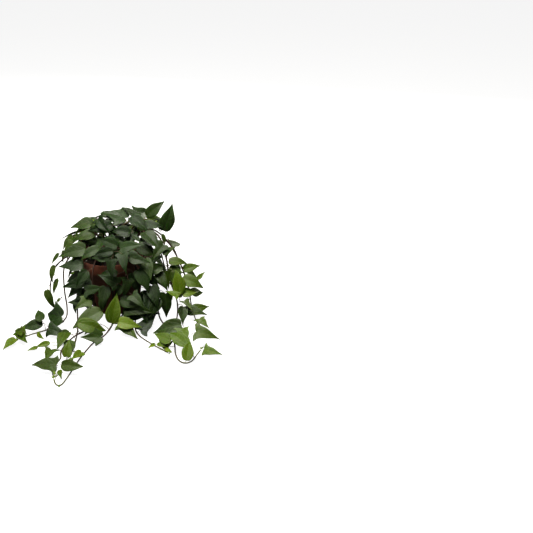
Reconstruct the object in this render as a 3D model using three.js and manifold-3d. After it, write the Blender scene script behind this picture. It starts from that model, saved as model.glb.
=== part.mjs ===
// A potted english ivy: a round nursery pot filled with soil, and twenty-three leafy stems that rise
// from the soil, spill over the rim and trail on the surface that the pot stands on.
// Millimetres, +Z up. The origin is the centre of the pot's underside. +X is the plant's right
// as it is looked at, and -Y points to the side that it is looked at from.

import * as THREE from 'three';
import { mergeVertices } from 'three/addons/utils/BufferGeometryUtils.js';
import Module from 'manifold-3d';

const wasm = await Module();
wasm.setup();

// Pot
const POT_HEIGHT = 105;
const RIM_RADIUS = 60;
const BASE_RADIUS = 42;
const WALL = 1.4;
const BAND_HEIGHT = 20;
const BAND_STEP = 3.2;
const BAND_BOTTOM = POT_HEIGHT - BAND_HEIGHT;
const SHOULDER_RADIUS = RIM_RADIUS - BAND_STEP - 1;
const FOOT_WIDTH = 6;
const FLOOR_LIFT = 3;
const FLOOR_TOP = FLOOR_LIFT + WALL;
const SHOULDER_TOP = BAND_BOTTOM + 0.6;
const REST_DISC_RADIUS = 12;
const POT_SIDES = 32;
const DRAIN_HOLES = 6;
const DRAIN_RADIUS = 4;
const DRAIN_CIRCLE = 25;

// Soil
const FIT_GAP = 0.35;
const SOIL_EDGE = 84.4;
const SOIL_CROWN = 94;
const SOIL_LUMP = 1.1;
const SOIL_SIDES = 15;

// Stems and leaves
const STEM_START = 86.5;
const STEM_RADIUS = 1.8;
const STEM_TIP_RADIUS = 1.1;
const STEM_SIDES = 3;
const STEM_STEP = 24;
const FINE_STEP = 2;
const HOLE_RADIUS = 3;
const HOLE_SIDES = 4;
const HOLE_REACH = 14;
const PETIOLE_RADIUS = 0.8;
const PETIOLE_BACK = 3;
const LOWEST_LEAF = 7;
const BLADE_THICKNESS = 0.75;
const CLEARANCE = 0.3;
const SURFACE_GAP = 0.4;
const TURN_TRIES = 30;
const YOUNG_LENGTH = 28;

// Blade outlines for a blade of length 1 from the petiole to the tip. A row is the place of its
// midrib point, then the place and the half width of its edge point. The first row's midrib point is
// where the petiole comes in. A lobe reaches back past it.
const BLADES = {
  lance: { lobe: null, rows: [[0, -0.05, 0.17], [0.38, 0.38, 0.25]] },
  arrow: { lobe: [-0.11, 0.16], rows: [[0, 0.04, 0.3], [0.42, 0.42, 0.21]] },
  star: { lobe: [-0.13, 0.17], rows: [[0, 0, 0.34], [0.2, 0.26, 0.47], [0.46, 0.44, 0.2]] },
  young: { lobe: null, rows: [[0, 0.1, 0.17], [0.5, 0.5, 0.17]] },
};

// Each vine has the points of its stem, from the soil to the growing tip, and one row for each leaf
// that is placed by eye: where the blade meets its petiole, the compass heading and the pitch of the
// blade in degrees, its length, and its outline where that isn't the usual one.
// A vine with a spread, in degrees to either side, has its leaves placed by the rule in ruledLeaves.
const VINES = [
  {
    name: 'vine_left_chain',
    route: [
      [-20, 6], [-21, 6, 125], [-28, 4, 140], [-46, 0, 134], [-70, -5, 107], [-93, -10, 90],
      [-107, -12, 71], [-115, -15, 36], [-111, -20, 12], [-100, -30, 4],
    ],
    leaves: [
      [-26, -12, 146, -166, -9, 40], [-32, -8, 149, -40, -8, 32], [-66, -5, 137, -167, -41, 32],
      [-92, -12, 108, -166, -48, 26], [-102, -14, 85, -151, -66, 33], [-103, -18, 62, -161, -51, 30],
      [-117, -22, 40, -28, -63, 37], [-95, -26, 37, -150, -62, 18], [-60, 12, 128, 150, -20, 38],
      [-84, 2, 100, 130, -35, 34], [-112, -4, 60, 120, -50, 30],
    ],
  },
  {
    name: 'vine_left_front',
    route: [
      [-27, -8], [-31, -9, 116], [-42, -10, 124], [-56, -17, 122], [-70, -23, 107], [-82, -28, 85],
      [-84, -33, 44], [-81, -40, 18], [-79, -58, 5], [-86, -84, 4], [-100, -102, 4],
      [-114, -112, 4], [-128, -122, 4], [-140, -134, 5],
    ],
    leaves: [
      [-44, -22, 135, -162, -22, 25, 'lance'], [-64, -18, 129, -162, -48, 36],
      [-36, -32, 122, -172, -23, 58], [-38, -30, 114, -160, -32, 34],
      [-76, -101, 28, 146, -12, 52, 'star'], [-109, -104, 18, -163, -10, 37],
      [-142, -126, 16, -66, -4, 44, 'arrow'], [-139, -140, 18, 150, 6, 32],
      [-147, -140, 9, -104, -4, 34],
      [-114, -124, 9, -51, 0, 24], [-94, -121, 16, -20, -8, 38], [-112, -106, 24, 130, 4, 34],
    ],
  },
  {
    name: 'vine_left_rim',
    route: [
      [-22, -20], [-30, -22, 110], [-44, -29, 113], [-56, -37, 105], [-59, -41, 84], [-58, -45, 55],
      [-59, -52, 24], [-57, -68, 5], [-52, -90, 4], [-48, -115, 4], [-45, -144, 4], [-43, -168, 4],
      [-48, -190, 4],
    ],
    leaves: [
      [-41, -51, 105, -177, -6, 44], [-48, -44, 84, -170, -21, 34],
      [-53, -50, 66, -164, -34, 32, 'star'],
      [-38, -61, 58, -170, -23, 34], [-37, -65, 40, 180, -6, 36], [-62, -52, 34, -81, -60, 24],
      [-58, -145, 18, -106, -11, 42], [-104, -166, 7, -133, 2, 20], [-40, -179, 10, 133, 14, 30],
      [-46, -206, 8, 66, 42, 30], [-39, -205, 9, -80, -8, 26], [-22, -192, 9, -119, -3, 30],
      [-62, -128, 9, 175, 2, 30], [-84, -156, 9, -151, 0, 26],
    ],
  },
  {
    name: 'vine_front_long',
    route: [
      [-2, -26], [1, -36, 112], [5, -50, 115], [9, -64, 108], [11, -71, 92], [11, -75, 65],
      [11, -80, 30], [9, -90, 9], [5, -104, 4], [-1, -127, 4], [-13, -147, 4], [-22, -180, 4],
      [-28, -212, 4], [-33, -250, 4], [-38, -278, 5], [-45, -281, 8], [-51, -270, 12],
    ],
    leaves: [
      [21, -86, 84, 176, 32, 38, 'arrow'], [27, -78, 78, -163, -46, 30], [10, -99, 16, 39, 66, 56],
      [-8, -92, 35, -146, -14, 58], [-1, -144, 13, -168, 3, 36, 'star'], [25, -116, 26, -3, -12, 42],
      [-16, -104, 18, -120, -6, 34], [-50, -262, 14, 120, 20, 10], [-40, -284, 9, -70, 8, 9],
      [2, -82, 76, -118, -58, 42], [-2, -84, 54, -105, -60, 40],
    ],
  },
  {
    name: 'vine_front_left',
    route: [
      [-13, -27], [-15, -40, 112], [-18, -54, 113], [-21, -65, 104], [-23, -71, 85], [-23, -74, 55],
      [-24, -76, 26], [-28, -83, 7], [-36, -106, 4], [-47, -136, 10], [-58, -160, 7], [-61, -182, 4.5],
      [-57, -198, 5], [-60, -214, 4], [-60, -240, 4], [-54, -256, 5], [-47, -251, 8],
    ],
    leaves: [
      [-30, -60, 81, -174, -19, 54, 'arrow'], [-34, -72, 62, -17, 1, 42], [-29, -74, 52, -19, -21, 42],
      [-41, -118, 24, -6, -12, 50], [-76, -180, 10, -100, -2, 32], [-52, -240, 14, 168, -4, 46, 'arrow'],
      [-48, -236, 13, -23, -6, 38], [-46, -244, 9, -73, -2, 24], [-20, -82, 30, -60, -24, 44],
      [-32, -66, 98, -150, -44, 36], [-22, -84, 40, -140, -30, 44, 'star'],
    ],
  },
  {
    name: 'vine_front_short',
    route: [
      [10, -27], [17, -38, 114], [26, -51, 116], [34, -64, 107], [35, -71, 88], [33, -76, 66],
      [35, -80, 44],
    ],
    leaves: [
      [44, -66, 124, -11, -12, 38], [38, -80, 91, -117, -74, 34, 'arrow'], [22, -76, 98, 175, 4, 32],
      [28, -82, 55, -15, -11, 44], [36, -88, 40, -12, -6, 52], [34, -86, 26, -9, -2, 42],
      [47, -64, 94, -55, -64, 40], [52, -74, 30, 8, 4, 44], [22, -50, 124, -150, -26, 38],
      [56, -80, 38, -50, -34, 42], [44, -82, 64, -30, -44, 42],
    ],
  },
  {
    name: 'vine_front_right',
    route: [
      [19, -20], [30, -33, 113], [42, -45, 114], [50, -55, 102], [52, -61, 78], [50, -67, 50],
      [48, -75, 22], [48, -88, 6], [52, -108, 4], [63, -128, 4], [84, -151, 4], [104, -170, 4],
      [117, -183, 5],
    ],
    leaves: [
      [28, -111, 16, -34, -10, 42, 'arrow'], [56, -119, 8, 33, 24, 46], [60, -68, 60, -27, -62, 38],
      [57, -68, 102, -35, -52, 42], [92, -158, 8, -129, 2, 16], [95, -158, 8, -37, 4, 18],
      [110, -174, 8, -48, 4, 17], [66, -62, 96, -30, -50, 38], [44, -62, 30, -140, -20, 30],
      [36, -42, 122, -50, -24, 40], [66, -70, 56, -105, -50, 42],
      [78, -70, 72, -60, -50, 40],
    ],
  },
  {
    name: 'vine_right_front',
    route: [
      [25, -9], [38, -18, 116], [56, -27, 119], [69, -38, 107], [75, -48, 88], [80, -57, 62],
      [84, -63, 40], [88, -70, 13], [95, -80, 5], [103, -93, 4], [112, -114, 4], [120, -138, 4],
      [125, -162, 4], [128, -184, 4], [136, -205, 4], [147, -213, 4], [157, -206, 4],
      [163, -188, 4], [169, -171, 5],
    ],
    leaves: [
      [95, -48, 99, -155, -17, 34], [80, -47, 79, -21, -47, 32], [86, -68, 44, -130, -50, 38],
      [97, -48, 125, 30, 14, 26, 'lance'], [101, -64, 54, -84, -74, 44], [132, -118, 22, -176, -12, 52],
      [119, -163, 17, 152, 5, 36], [115, -168, 10, 153, 2, 34], [149, -181, 16, 140, 3, 50],
      [149, -211, 8, 85, 40, 34, 'lance'], [172, -172, 9, -27, -3, 34], [66, -50, 114, -60, -34, 40],
      [50, -24, 126, -20, -22, 44], [74, -42, 110, -80, -45, 42], [86, -54, 92, -40, -50, 38],
      [90, -74, 54, -100, -58, 44],
    ],
  },
  {
    name: 'vine_right_high',
    route: [
      [27, 3], [34, 3, 122], [50, 1, 137], [74, 0, 146], [89, -5, 133], [97, -15, 110],
      [101, -21, 94], [103, -26, 76], [110, -33, 50], [118, -43, 26], [119, -58, 10], [119, -80, 5],
      [125, -100, 5], [133, -120, 5], [141, -140, 5], [148, -158, 5],
    ],
    leaves: [
      [64, -18, 151, -43, -26, 50], [99, -42, 137, -140, -34, 36, 'arrow'], [103, -12, 92, 4, -6, 34],
      [104, -18, 82, -5, -18, 28], [99, -38, 85, -63, -66, 34], [112, -37, 80, -79, -60, 28, 'lance'],
      [124, -54, 48, 96, 70, 44], [119, -66, 62, -162, 6, 36], [108, -68, 54, -72, -62, 18],
      [131, -68, 28, -98, -50, 34, 'lance'], [134, -132, 28, -63, -17, 44],
      [157, -150, 30, -4, -20, 46, 'arrow'],
    ],
  },
  {
    name: 'vine_right_side',
    route: [
      [26, 14], [38, 18, 124], [68, 19, 142], [94, 14, 127], [113, 8, 98], [127, 0, 66],
      [136, -10, 36], [141, -26, 12], [147, -48, 5], [153, -70, 4], [158, -84, 5],
    ],
    leaves: [
      [129, -12, 76, 16, 14, 32], [152, -20, 60, 21, 40, 22], [128, -32, 68, -12, -16, 42],
      [126, -50, 44, 24, 8, 34], [128, -58, 34, -48, -30, 30], [122, -44, 40, 64, 10, 22],
      [134, -58, 20, -10, -8, 42], [160, -82, 14, -60, 0, 34], [146, -52, 16, 24, 2, 34],
      [158, -90, 9, -100, 4, 20], [104, 22, 112, 60, -20, 38], [132, 10, 60, 50, -36, 36],
      [140, -12, 30, 40, -20, 34],
    ],
  },
  {
    name: 'vine_crown_right',
    route: [[17, 9], [26, 13, 128], [42, 18, 150], [60, 21, 160], [78, 16, 158]],
    leaves: [
      [64, 25, 164, 0, 37, 42], [92, 12, 142, 21, 62, 52, 'lance'], [95, 6, 140, -41, -62, 26],
      [57, 12, 153, -14, -15, 38], [50, 34, 150, 70, -10, 42], [76, 28, 150, 40, -12, 36],
    ],
  },
  {
    name: 'vine_crown_middle',
    route: [[4, 2], [8, 4, 128], [18, 6, 150], [32, 8, 160], [44, 10, 164]],
    leaves: [
      [27, 22, 160, 170, 8, 46, 'star'], [44, 25, 163, 146, 22, 32], [38, 8, 170, -31, -32, 44],
      [38, -14, 148, 176, 12, 36, 'lance'], [46, 0, 149, -160, -10, 30], [14, -6, 140, -70, -24, 36],
      [30, -2, 152, -86, -34, 38], [30, -8, 132, -40, -28, 44], [10, 12, 132, 150, -12, 42],
      [8, -4, 156, -150, -10, 42], [14, 16, 150, 110, -6, 40],
    ],
  },
  {
    name: 'vine_crown_left',
    route: [[-9, 4], [-12, 4, 128], [-16, 3, 150], [-26, 1, 162]],
    leaves: [
      [-29, 18, 152, -162, -18, 42], [-19, -2, 170, -45, -31, 38, 'arrow'], [-34, 8, 158, 178, -8, 38],
      [-6, 10, 160, 50, -4, 38], [-14, -10, 138, -110, -26, 36],
      [-30, -2, 126, -172, -26, 46], [-22, 12, 134, 160, -22, 44], [-24, -16, 124, -144, -34, 42],
      [-34, 14, 116, 150, -30, 40], [-6, 26, 156, 30, -10, 40], [-38, 12, 138, 170, -20, 40],
    ],
  },
  {
    name: 'vine_crown_front',
    route: [[1, -13], [4, -18, 124], [6, -30, 138], [10, -46, 139], [14, -60, 131], [16, -68, 118]],
    leaves: [
      [22, -58, 142, 167, 21, 38], [27, -60, 143, 3, 11, 46, 'arrow'], [18, -60, 139, -165, -7, 34],
      [7, -36, 153, -62, -25, 26, 'lance'], [58, -40, 144, 151, 30, 22], [2, -72, 127, 180, -5, 34],
      [15, -82, 128, -94, -62, 36, 'arrow'], [31, -77, 134, -70, -57, 36],
      [-12, -44, 132, -150, -14, 38],
    ],
  },
  {
    name: 'vine_back_left',
    spread: 28,
    route: [
      [-19, 18], [-32, 26, 118], [-46, 36, 122], [-58, 44, 108], [-66, 49, 80], [-70, 53, 45],
      [-72, 61, 14], [-78, 77, 4.5], [-83, 90, 4.5],
    ],
  },
  {
    name: 'vine_back_centre_left',
    spread: 46,
    route: [
      [-9, 24], [-16, 38, 120], [-26, 54, 125], [-34, 68, 106], [-37, 76, 70], [-38, 82, 36],
      [-40, 92, 9], [-46, 112, 4.5], [-44, 134, 4.5],
    ],
  },
  {
    name: 'vine_back_centre',
    spread: 46,
    route: [
      [3, 25], [3, 40, 122], [4, 56, 125], [5, 70, 108], [4, 78, 72], [2, 84, 36], [2, 96, 8],
      [8, 118, 4.5], [6, 142, 4.5],
    ],
  },
  {
    name: 'vine_back_centre_right',
    spread: 44,
    route: [
      [15, 24], [24, 38, 122], [36, 52, 127], [46, 63, 110], [50, 70, 72], [52, 76, 36],
      [56, 86, 9], [66, 102, 4.5], [72, 122, 5],
    ],
  },
  {
    name: 'vine_back_right',
    spread: 42,
    route: [
      [28, 26], [42, 34, 124], [60, 42, 127], [75, 48, 106], [83, 50, 70], [89, 52, 36],
      [97, 56, 10], [111, 64, 4.5], [127, 70, 5],
    ],
  },
  {
    name: 'vine_crown_back_left',
    route: [[-1, 13], [-3, 20, 126], [-9, 30, 146], [-20, 40, 154], [-34, 46, 150]],
    leaves: [
      [-10, 34, 158, 120, 0, 40], [-18, 56, 142, 84, -46, 38], [-36, 48, 152, 104, -22, 42],
      [-4, 36, 142, 62, -18, 40], [-20, 28, 138, 172, -16, 46], [-32, 36, 146, -168, -34, 42],
    ],
  },
  {
    name: 'vine_crown_back_right',
    route: [[9, 15], [14, 24, 128], [24, 32, 148], [40, 38, 156], [56, 42, 150]],
    leaves: [
      [26, 38, 160, 98, -4, 42], [44, 46, 160, 62, -12, 42], [60, 44, 152, 28, -24, 44],
      [18, 38, 142, 132, -18, 40], [38, 28, 144, -8, -16, 42], [18, 30, 126, 66, -30, 42],
      [50, 52, 142, 92, -46, 38],
    ],
  },
  {
    name: 'vine_side_left',
    spread: 34,
    spacing: 14,
    route: [[-29, 13], [-36, 16, 117], [-50, 19, 120], [-62, 22, 108], [-66, 24, 82], [-64, 25, 54]],
  },
  {
    name: 'vine_side_right',
    spread: 34,
    spacing: 14,
    route: [[34, -4], [40, -5, 116], [53, -3, 118], [63, 0, 106], [67, 3, 82], [65, 5, 50]],
  },
];

// Blades turn to the light: in front it comes from above and before the pot, behind from above.
const FRONT_LIGHT = { from: new THREE.Vector3(0, -0.5, 0.6), outward: 0.28 };
const BACK_LIGHT = { from: new THREE.Vector3(0, 0, 0.62), outward: 0.5 };

// Ruled leaves stand on alternate sides of the stem at this spacing, from above the rim on.
const LEAF_SPACING = 21;
const LEAF_FIRST_HEIGHT = 112;

// A repeatable series of draws from 0 to 1 for one seed.
function seededDraw(seed) {
  let state = (seed * 2654435761) >>> 0;
  return () => {
    state = (state + 0x6d2b79f5) >>> 0;
    let mixed = Math.imul(state ^ (state >>> 15), state | 1);
    mixed ^= mixed + Math.imul(mixed ^ (mixed >>> 7), mixed | 61);
    return ((mixed ^ (mixed >>> 14)) >>> 0) / 4294967296;
  };
}

// A closed three.js geometry as a solid that can be joined and cut.
function toSolid(geometry) {
  const bare = geometry.clone();
  bare.deleteAttribute('normal');
  bare.deleteAttribute('uv');
  const merged = mergeVertices(bare, 1e-4);
  const mesh = new wasm.Mesh({
    numProp: 3,
    vertProperties: new Float32Array(merged.attributes.position.array),
    triVerts: new Uint32Array(merged.index.array),
  });
  return new wasm.Manifold(mesh);
}

function toGeometry(solid) {
  const mesh = solid.getMesh();
  const geometry = new THREE.BufferGeometry();
  geometry.setAttribute('position', new THREE.BufferAttribute(mesh.vertProperties, 3));
  geometry.setIndex(new THREE.BufferAttribute(mesh.triVerts, 1));
  geometry.computeVertexNormals();
  return geometry;
}

// The smooth curve of a vine's stem, sampled at about the given step. A route starts with its place
// on the soil, from the bottom of its hole to just above the soil.
function stemPoints(route, step) {
  const [rootX, rootY] = route[0];
  const places = [[rootX, rootY, STEM_START], [rootX, rootY, SOIL_CROWN + 4], ...route.slice(1)];
  const knots = places.map((place) => new THREE.Vector3(...place));
  const curve = new THREE.CatmullRomCurve3(knots, false, 'catmullrom', 0.5);
  const legs = knots.length - 1;
  const points = [];
  for (let leg = 0; leg < legs; leg += 1) {
    const count = Math.max(1, Math.ceil(knots[leg].distanceTo(knots[leg + 1]) / step));
    for (let i = 0; i < count; i += 1) {
      points.push(curve.getPoint((leg + i / count) / legs));
    }
  }
  points.push(knots[legs].clone());
  return points;
}

// Points at about the given step along straight legs between points.
function alongLine(points, step) {
  const fine = [];
  for (let leg = 0; leg + 1 < points.length; leg += 1) {
    const count = Math.max(1, Math.round(points[leg].distanceTo(points[leg + 1]) / step));
    for (let i = 0; i < count; i += 1) {
      fine.push(points[leg].clone().lerp(points[leg + 1], i / count));
    }
  }
  fine.push(points[points.length - 1].clone());
  return fine;
}

// A closed tube round a line of points, with a radius for each point.
function taperedTube(points, radii, sides) {
  const positions = [];
  const index = [];
  let across = new THREE.Vector3(1, 0, 0);
  points.forEach((point, i) => {
    const before = points[Math.max(i - 1, 0)];
    const after = points[Math.min(i + 1, points.length - 1)];
    const along = after.clone().sub(before).normalize();
    across = across.clone().addScaledVector(along, -across.dot(along));
    if (across.length() < 0.2) {
      across = new THREE.Vector3(0, 1, 0).addScaledVector(along, -along.y);
    }
    across.normalize();
    const side = along.clone().cross(across);
    for (let k = 0; k < sides; k += 1) {
      const angle = (k / sides) * 2 * Math.PI;
      const spot = point.clone();
      spot.addScaledVector(across, radii[i] * Math.cos(angle));
      spot.addScaledVector(side, radii[i] * Math.sin(angle));
      positions.push(spot.x, spot.y, spot.z);
    }
  });
  for (let i = 0; i < points.length - 1; i += 1) {
    for (let k = 0; k < sides; k += 1) {
      const a = i * sides + k;
      const b = i * sides + ((k + 1) % sides);
      index.push(a, b, b + sides, a, b + sides, a + sides);
    }
  }
  const last = (points.length - 1) * sides;
  for (let k = 1; k < sides - 1; k += 1) {
    index.push(0, k + 1, k);
    index.push(last, last + k, last + k + 1);
  }
  return closedGeometry(positions, index);
}

function evenTube(points, radius) {
  return taperedTube(points, points.map(() => radius), 6);
}

function closedGeometry(positions, index) {
  const geometry = new THREE.BufferGeometry();
  geometry.setAttribute('position', new THREE.Float32BufferAttribute(positions, 3));
  geometry.setIndex(index);
  return geometry;
}

// A leaf in one closed skin: a blade of even thickness, cut to its outline, folded along the midrib
// and arched to the tip, and where petiole centres are given a three-sided petiole that runs from the
// blade's notch into the stem. Both faces of the blade are split into the same triangles.
function leafGeometry(pose, petiole, thickness, grow) {
  const outline = BLADES[pose.kind];
  const spots = [];
  const place = (t, w) => {
    const spot = pose.base.clone();
    spot.addScaledVector(pose.along, t * pose.length * grow);
    spot.addScaledVector(pose.across, w * pose.length * grow);
    const rise = Math.abs(w) * pose.fold - t * t * pose.arch;
    spot.addScaledVector(pose.facing, rise * pose.length * grow + (thickness - BLADE_THICKNESS) / 2);
    spots.push(spot);
    return spots.length - 1;
  };
  const mids = outline.rows.slice(1).map(([t]) => place(t, 0));
  const edges = [1, -1].map((hand) => outline.rows.map(([, t, w]) => place(t, hand * w)));
  const lobes = outline.lobe
    ? [1, -1].map((hand) => place(outline.lobe[0], hand * outline.lobe[1])) : [];
  const tip = place(1, 0);
  const notch = [1, -1].map((hand) => place(0, (hand * PETIOLE_RADIUS) / pose.length));
  const faces = [];
  [0, 1].forEach((hand) => {
    const turn = (a, b, c) => faces.push(hand === 0 ? [a, b, c] : [a, c, b]);
    const spine = [notch[hand], ...mids];
    const edge = edges[hand];
    if (outline.lobe) {
      turn(spine[0], lobes[hand], edge[0]);
    }
    for (let i = 0; i + 1 < spine.length; i += 1) {
      turn(spine[i], edge[i], edge[i + 1]);
      turn(spine[i], edge[i + 1], spine[i + 1]);
    }
    turn(spine[spine.length - 1], edge[edge.length - 1], tip);
  });
  const right = [...lobes.slice(0, 1), ...edges[0]];
  const left = [...edges[1].slice().reverse(), ...lobes.slice(1)];
  const rim = [notch[0], ...right, tip, ...left, notch[1]];
  const count = spots.length - 1;
  const under = spots.slice(0, count).map((spot) => {
    return spot.clone().addScaledVector(pose.facing, -thickness);
  });
  const keel = under.length - 1;
  under[keel] = pose.base.clone().addScaledVector(pose.facing, -(thickness + BLADE_THICKNESS) / 2);
  const below = (i) => count + 1 + Math.min(i, keel);
  const index = [];
  faces.forEach(([a, b, c]) => index.push(a, b, c, below(a), below(c), below(b)));
  index.push(notch[1], notch[0], mids[0]);
  rim.slice(1).forEach((b, i) => {
    const a = rim[i];
    if (below(a) !== below(b)) {
      index.push(a, below(a), below(b), a, below(b), b);
    }
  });
  const skin = [...spots, ...under];
  let ring = [notch[0], notch[1], below(keel)];
  petiole.forEach((centre, i) => {
    const ahead = (i === 0 ? pose.base : petiole[i - 1]).clone();
    const behind = petiole[Math.min(i + 1, petiole.length - 1)];
    const along = ahead.sub(behind).normalize();
    const across = pose.across.clone().addScaledVector(along, -pose.across.dot(along)).normalize();
    const up = across.clone().cross(along);
    const next = [[0.87, 0.5], [-0.87, 0.5], [0, -1]].map(([sideways, upward]) => {
      const spot = centre.clone().addScaledVector(across, sideways * PETIOLE_RADIUS);
      skin.push(spot.addScaledVector(up, upward * PETIOLE_RADIUS));
      return skin.length - 1;
    });
    ring.forEach((a, k) => {
      const b = ring[(k + 1) % ring.length];
      const c = next[(k + 1) % ring.length];
      index.push(a, b, c, a, c, next[k]);
    });
    ring = next;
  });
  index.push(ring[0], ring[1], ring[2]);
  return closedGeometry(skin.flatMap((spot) => [spot.x, spot.y, spot.z]), index);
}

// Where a leaf's blade lies. Try 0 is the place that its row gives, and later tries are turned
// further from it, until the leaf is clear of its neighbours.
function leafPose(row, seed, attempt, light) {
  const [x, y, z, heading, pitch, length, kind] = row;
  const own = seededDraw(seed);
  const lean = [own() - 0.5, own() - 0.5, own() - 0.5];
  const fold = 0.16 + 0.22 * own();
  const arch = 0.04 + 0.12 * own();
  const turn = seededDraw(seed * 64 + attempt);
  const loose = attempt === 0 ? 0 : 1 + attempt / 6;
  const shift = () => (turn() - 0.5) * loose;
  const base = new THREE.Vector3(x + 5 * shift(), y + 5 * shift(), z + 5 * shift());
  const compass = THREE.MathUtils.degToRad(heading + 16 * shift());
  const climb = THREE.MathUtils.degToRad(pitch + 14 * shift());
  const flat = Math.cos(climb);
  const along = new THREE.Vector3(flat * Math.cos(compass), flat * Math.sin(compass), Math.sin(climb));
  const outward = new THREE.Vector3(x, y, 0).normalize();
  const facing = new THREE.Vector3(...lean).multiplyScalar(0.3).add(light.from);
  facing.addScaledVector(outward, light.outward);
  facing.addScaledVector(along, -facing.dot(along)).normalize();
  const across = along.clone().cross(facing);
  return { base, along, across, facing, fold, arch, kind, length: length * (1 - 0.012 * attempt) };
}

// The centres of a petiole from the blade back to the stem: one behind the blade's notch, and one
// in the stem, a little nearer to the root than the nearest point.
function petioleCentres(pose, finePoints) {
  let nearest = 0;
  finePoints.forEach((point, i) => {
    if (point.distanceTo(pose.base) < finePoints[nearest].distanceTo(pose.base)) {
      nearest = i;
    }
  });
  const start = finePoints[Math.max(nearest - PETIOLE_BACK, LOWEST_LEAF)];
  const back = start.clone().sub(pose.base).multiplyScalar(0.42);
  back.addScaledVector(pose.along, -Math.max(0, back.dot(pose.along)));
  back.addScaledVector(pose.along, -Math.min(6, 0.3 * start.distanceTo(pose.base)));
  return [pose.base.clone().add(back), start];
}

// The leaves of a vine that has no rows: alternate sides, larger near the pot, out from the pot where
// the stem hangs and lifted off the surface where it lies.
function ruledLeaves(vine, finePoints, seed) {
  const draw = seededDraw(seed);
  const rows = [];
  const step = (vine.spacing ?? LEAF_SPACING) / FINE_STEP;
  const reach = finePoints.length;
  for (let at = 4; at < reach; at += step * (0.85 + 0.3 * draw())) {
    const i = Math.floor(at);
    const point = finePoints[i];
    const ahead = finePoints[Math.min(i + 2, reach - 1)].clone().sub(finePoints[Math.max(i - 2, 0)]);
    if (point.z < LEAF_FIRST_HEIGHT && Math.hypot(point.x, point.y) < RIM_RADIUS) {
      continue;
    }
    const hand = rows.length % 2 === 0 ? 1 : -1;
    const lying = point.z < 20;
    const hanging = !lying && ahead.z < -0.6 * ahead.length();
    const outward = Math.atan2(point.y, point.x);
    const travel = Math.atan2(ahead.y, ahead.x);
    const lead = lying ? travel : outward;
    const heading = lead + hand * THREE.MathUtils.degToRad(vine.spread + 16 * draw());
    const pitch = lying ? -6 + 8 * draw() : hanging ? -56 + 22 * draw() : -22 + 20 * draw();
    const lift = lying ? 11 + 5 * draw() : 5 + 6 * draw();
    const reachOut = lying ? 6 : 12;
    const length = (50 - 20 * (i / reach) ** 2) * (0.84 + 0.26 * draw());
    rows.push([
      point.x + reachOut * Math.cos(heading),
      point.y + reachOut * Math.sin(heading),
      point.z + lift,
      THREE.MathUtils.radToDeg(heading),
      pitch,
      length,
    ]);
  }
  return rows;
}

function leafKind(row, order) {
  if (row[6]) {
    return row[6];
  }
  if (row[5] < YOUNG_LENGTH) {
    return 'young';
  }
  return order % 3 === 1 ? 'arrow' : 'lance';
}

function potSolid() {
  const profile = [
    [0, 0], [REST_DISC_RADIUS, 0], [REST_DISC_RADIUS + 1, FLOOR_LIFT],
    [BASE_RADIUS - FOOT_WIDTH - 1, FLOOR_LIFT], [BASE_RADIUS - FOOT_WIDTH, 0], [BASE_RADIUS, 0],
    [SHOULDER_RADIUS, BAND_BOTTOM - 1], [RIM_RADIUS - 1.2, BAND_BOTTOM - 1],
    [RIM_RADIUS, POT_HEIGHT - 2], [RIM_RADIUS - 0.6, POT_HEIGHT],
    [RIM_RADIUS - WALL - 0.4, POT_HEIGHT], [RIM_RADIUS - WALL - 1.4, SHOULDER_TOP],
    [SHOULDER_RADIUS - WALL, SHOULDER_TOP], [BASE_RADIUS - WALL, FLOOR_TOP], [0, FLOOR_TOP],
  ].map(([radius, height]) => new THREE.Vector2(radius, height));
  let pot = toSolid(upright(new THREE.LatheGeometry(profile, POT_SIDES)));
  for (let i = 0; i < DRAIN_HOLES; i += 1) {
    const angle = (i / DRAIN_HOLES) * 2 * Math.PI;
    const hole = new THREE.CylinderGeometry(DRAIN_RADIUS, DRAIN_RADIUS, 12, 8).rotateX(Math.PI / 2);
    hole.translate(DRAIN_CIRCLE * Math.cos(angle), DRAIN_CIRCLE * Math.sin(angle), FLOOR_LIFT);
    pot = pot.subtract(toSolid(hole));
  }
  return pot;
}

// A lathe turns about its Y axis, so it is stood up along Z.
function upright(geometry) {
  return geometry.rotateX(Math.PI / 2);
}

function soilSolid() {
  const bottom = FLOOR_TOP + FIT_GAP;
  const wallAt = (height) => {
    const climb = (height - FLOOR_TOP) / (SHOULDER_TOP - FLOOR_TOP);
    return BASE_RADIUS - WALL + climb * (SHOULDER_RADIUS - BASE_RADIUS) - FIT_GAP - 0.15;
  };
  const profile = [
    [0, bottom], [wallAt(bottom), bottom], [wallAt(SOIL_EDGE), SOIL_EDGE], [44, 89], [26, 92.5],
    [0, SOIL_CROWN],
  ].map(([radius, height]) => new THREE.Vector2(radius, height));
  const bare = upright(new THREE.LatheGeometry(profile, SOIL_SIDES));
  bare.deleteAttribute('normal');
  bare.deleteAttribute('uv');
  const lumpy = mergeVertices(bare, 1e-4);
  const place = lumpy.attributes.position;
  const draw = seededDraw(5);
  for (let i = 0; i < place.count; i += 1) {
    if (place.getZ(i) > SOIL_EDGE + 1) {
      place.setZ(i, place.getZ(i) + SOIL_LUMP * (draw() - 0.5));
    }
  }
  let soil = toSolid(lumpy);
  VINES.forEach(({ route }) => {
    const hole = new THREE.CylinderGeometry(HOLE_RADIUS, HOLE_RADIUS, HOLE_REACH, HOLE_SIDES);
    hole.rotateX(Math.PI / 2);
    hole.translate(route[0][0], route[0][1], STEM_START - FIT_GAP + HOLE_REACH / 2);
    soil = soil.subtract(toSolid(hole));
  });
  return soil;
}

// A solid with its box, so that only solids whose boxes meet are tested against each other.
function withReach(solid) {
  const { min, max } = solid.boundingBox();
  return { solid, reach: new THREE.Box3(new THREE.Vector3(...min), new THREE.Vector3(...max)) };
}

function asItem(geometry) {
  return withReach(toSolid(geometry));
}

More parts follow.
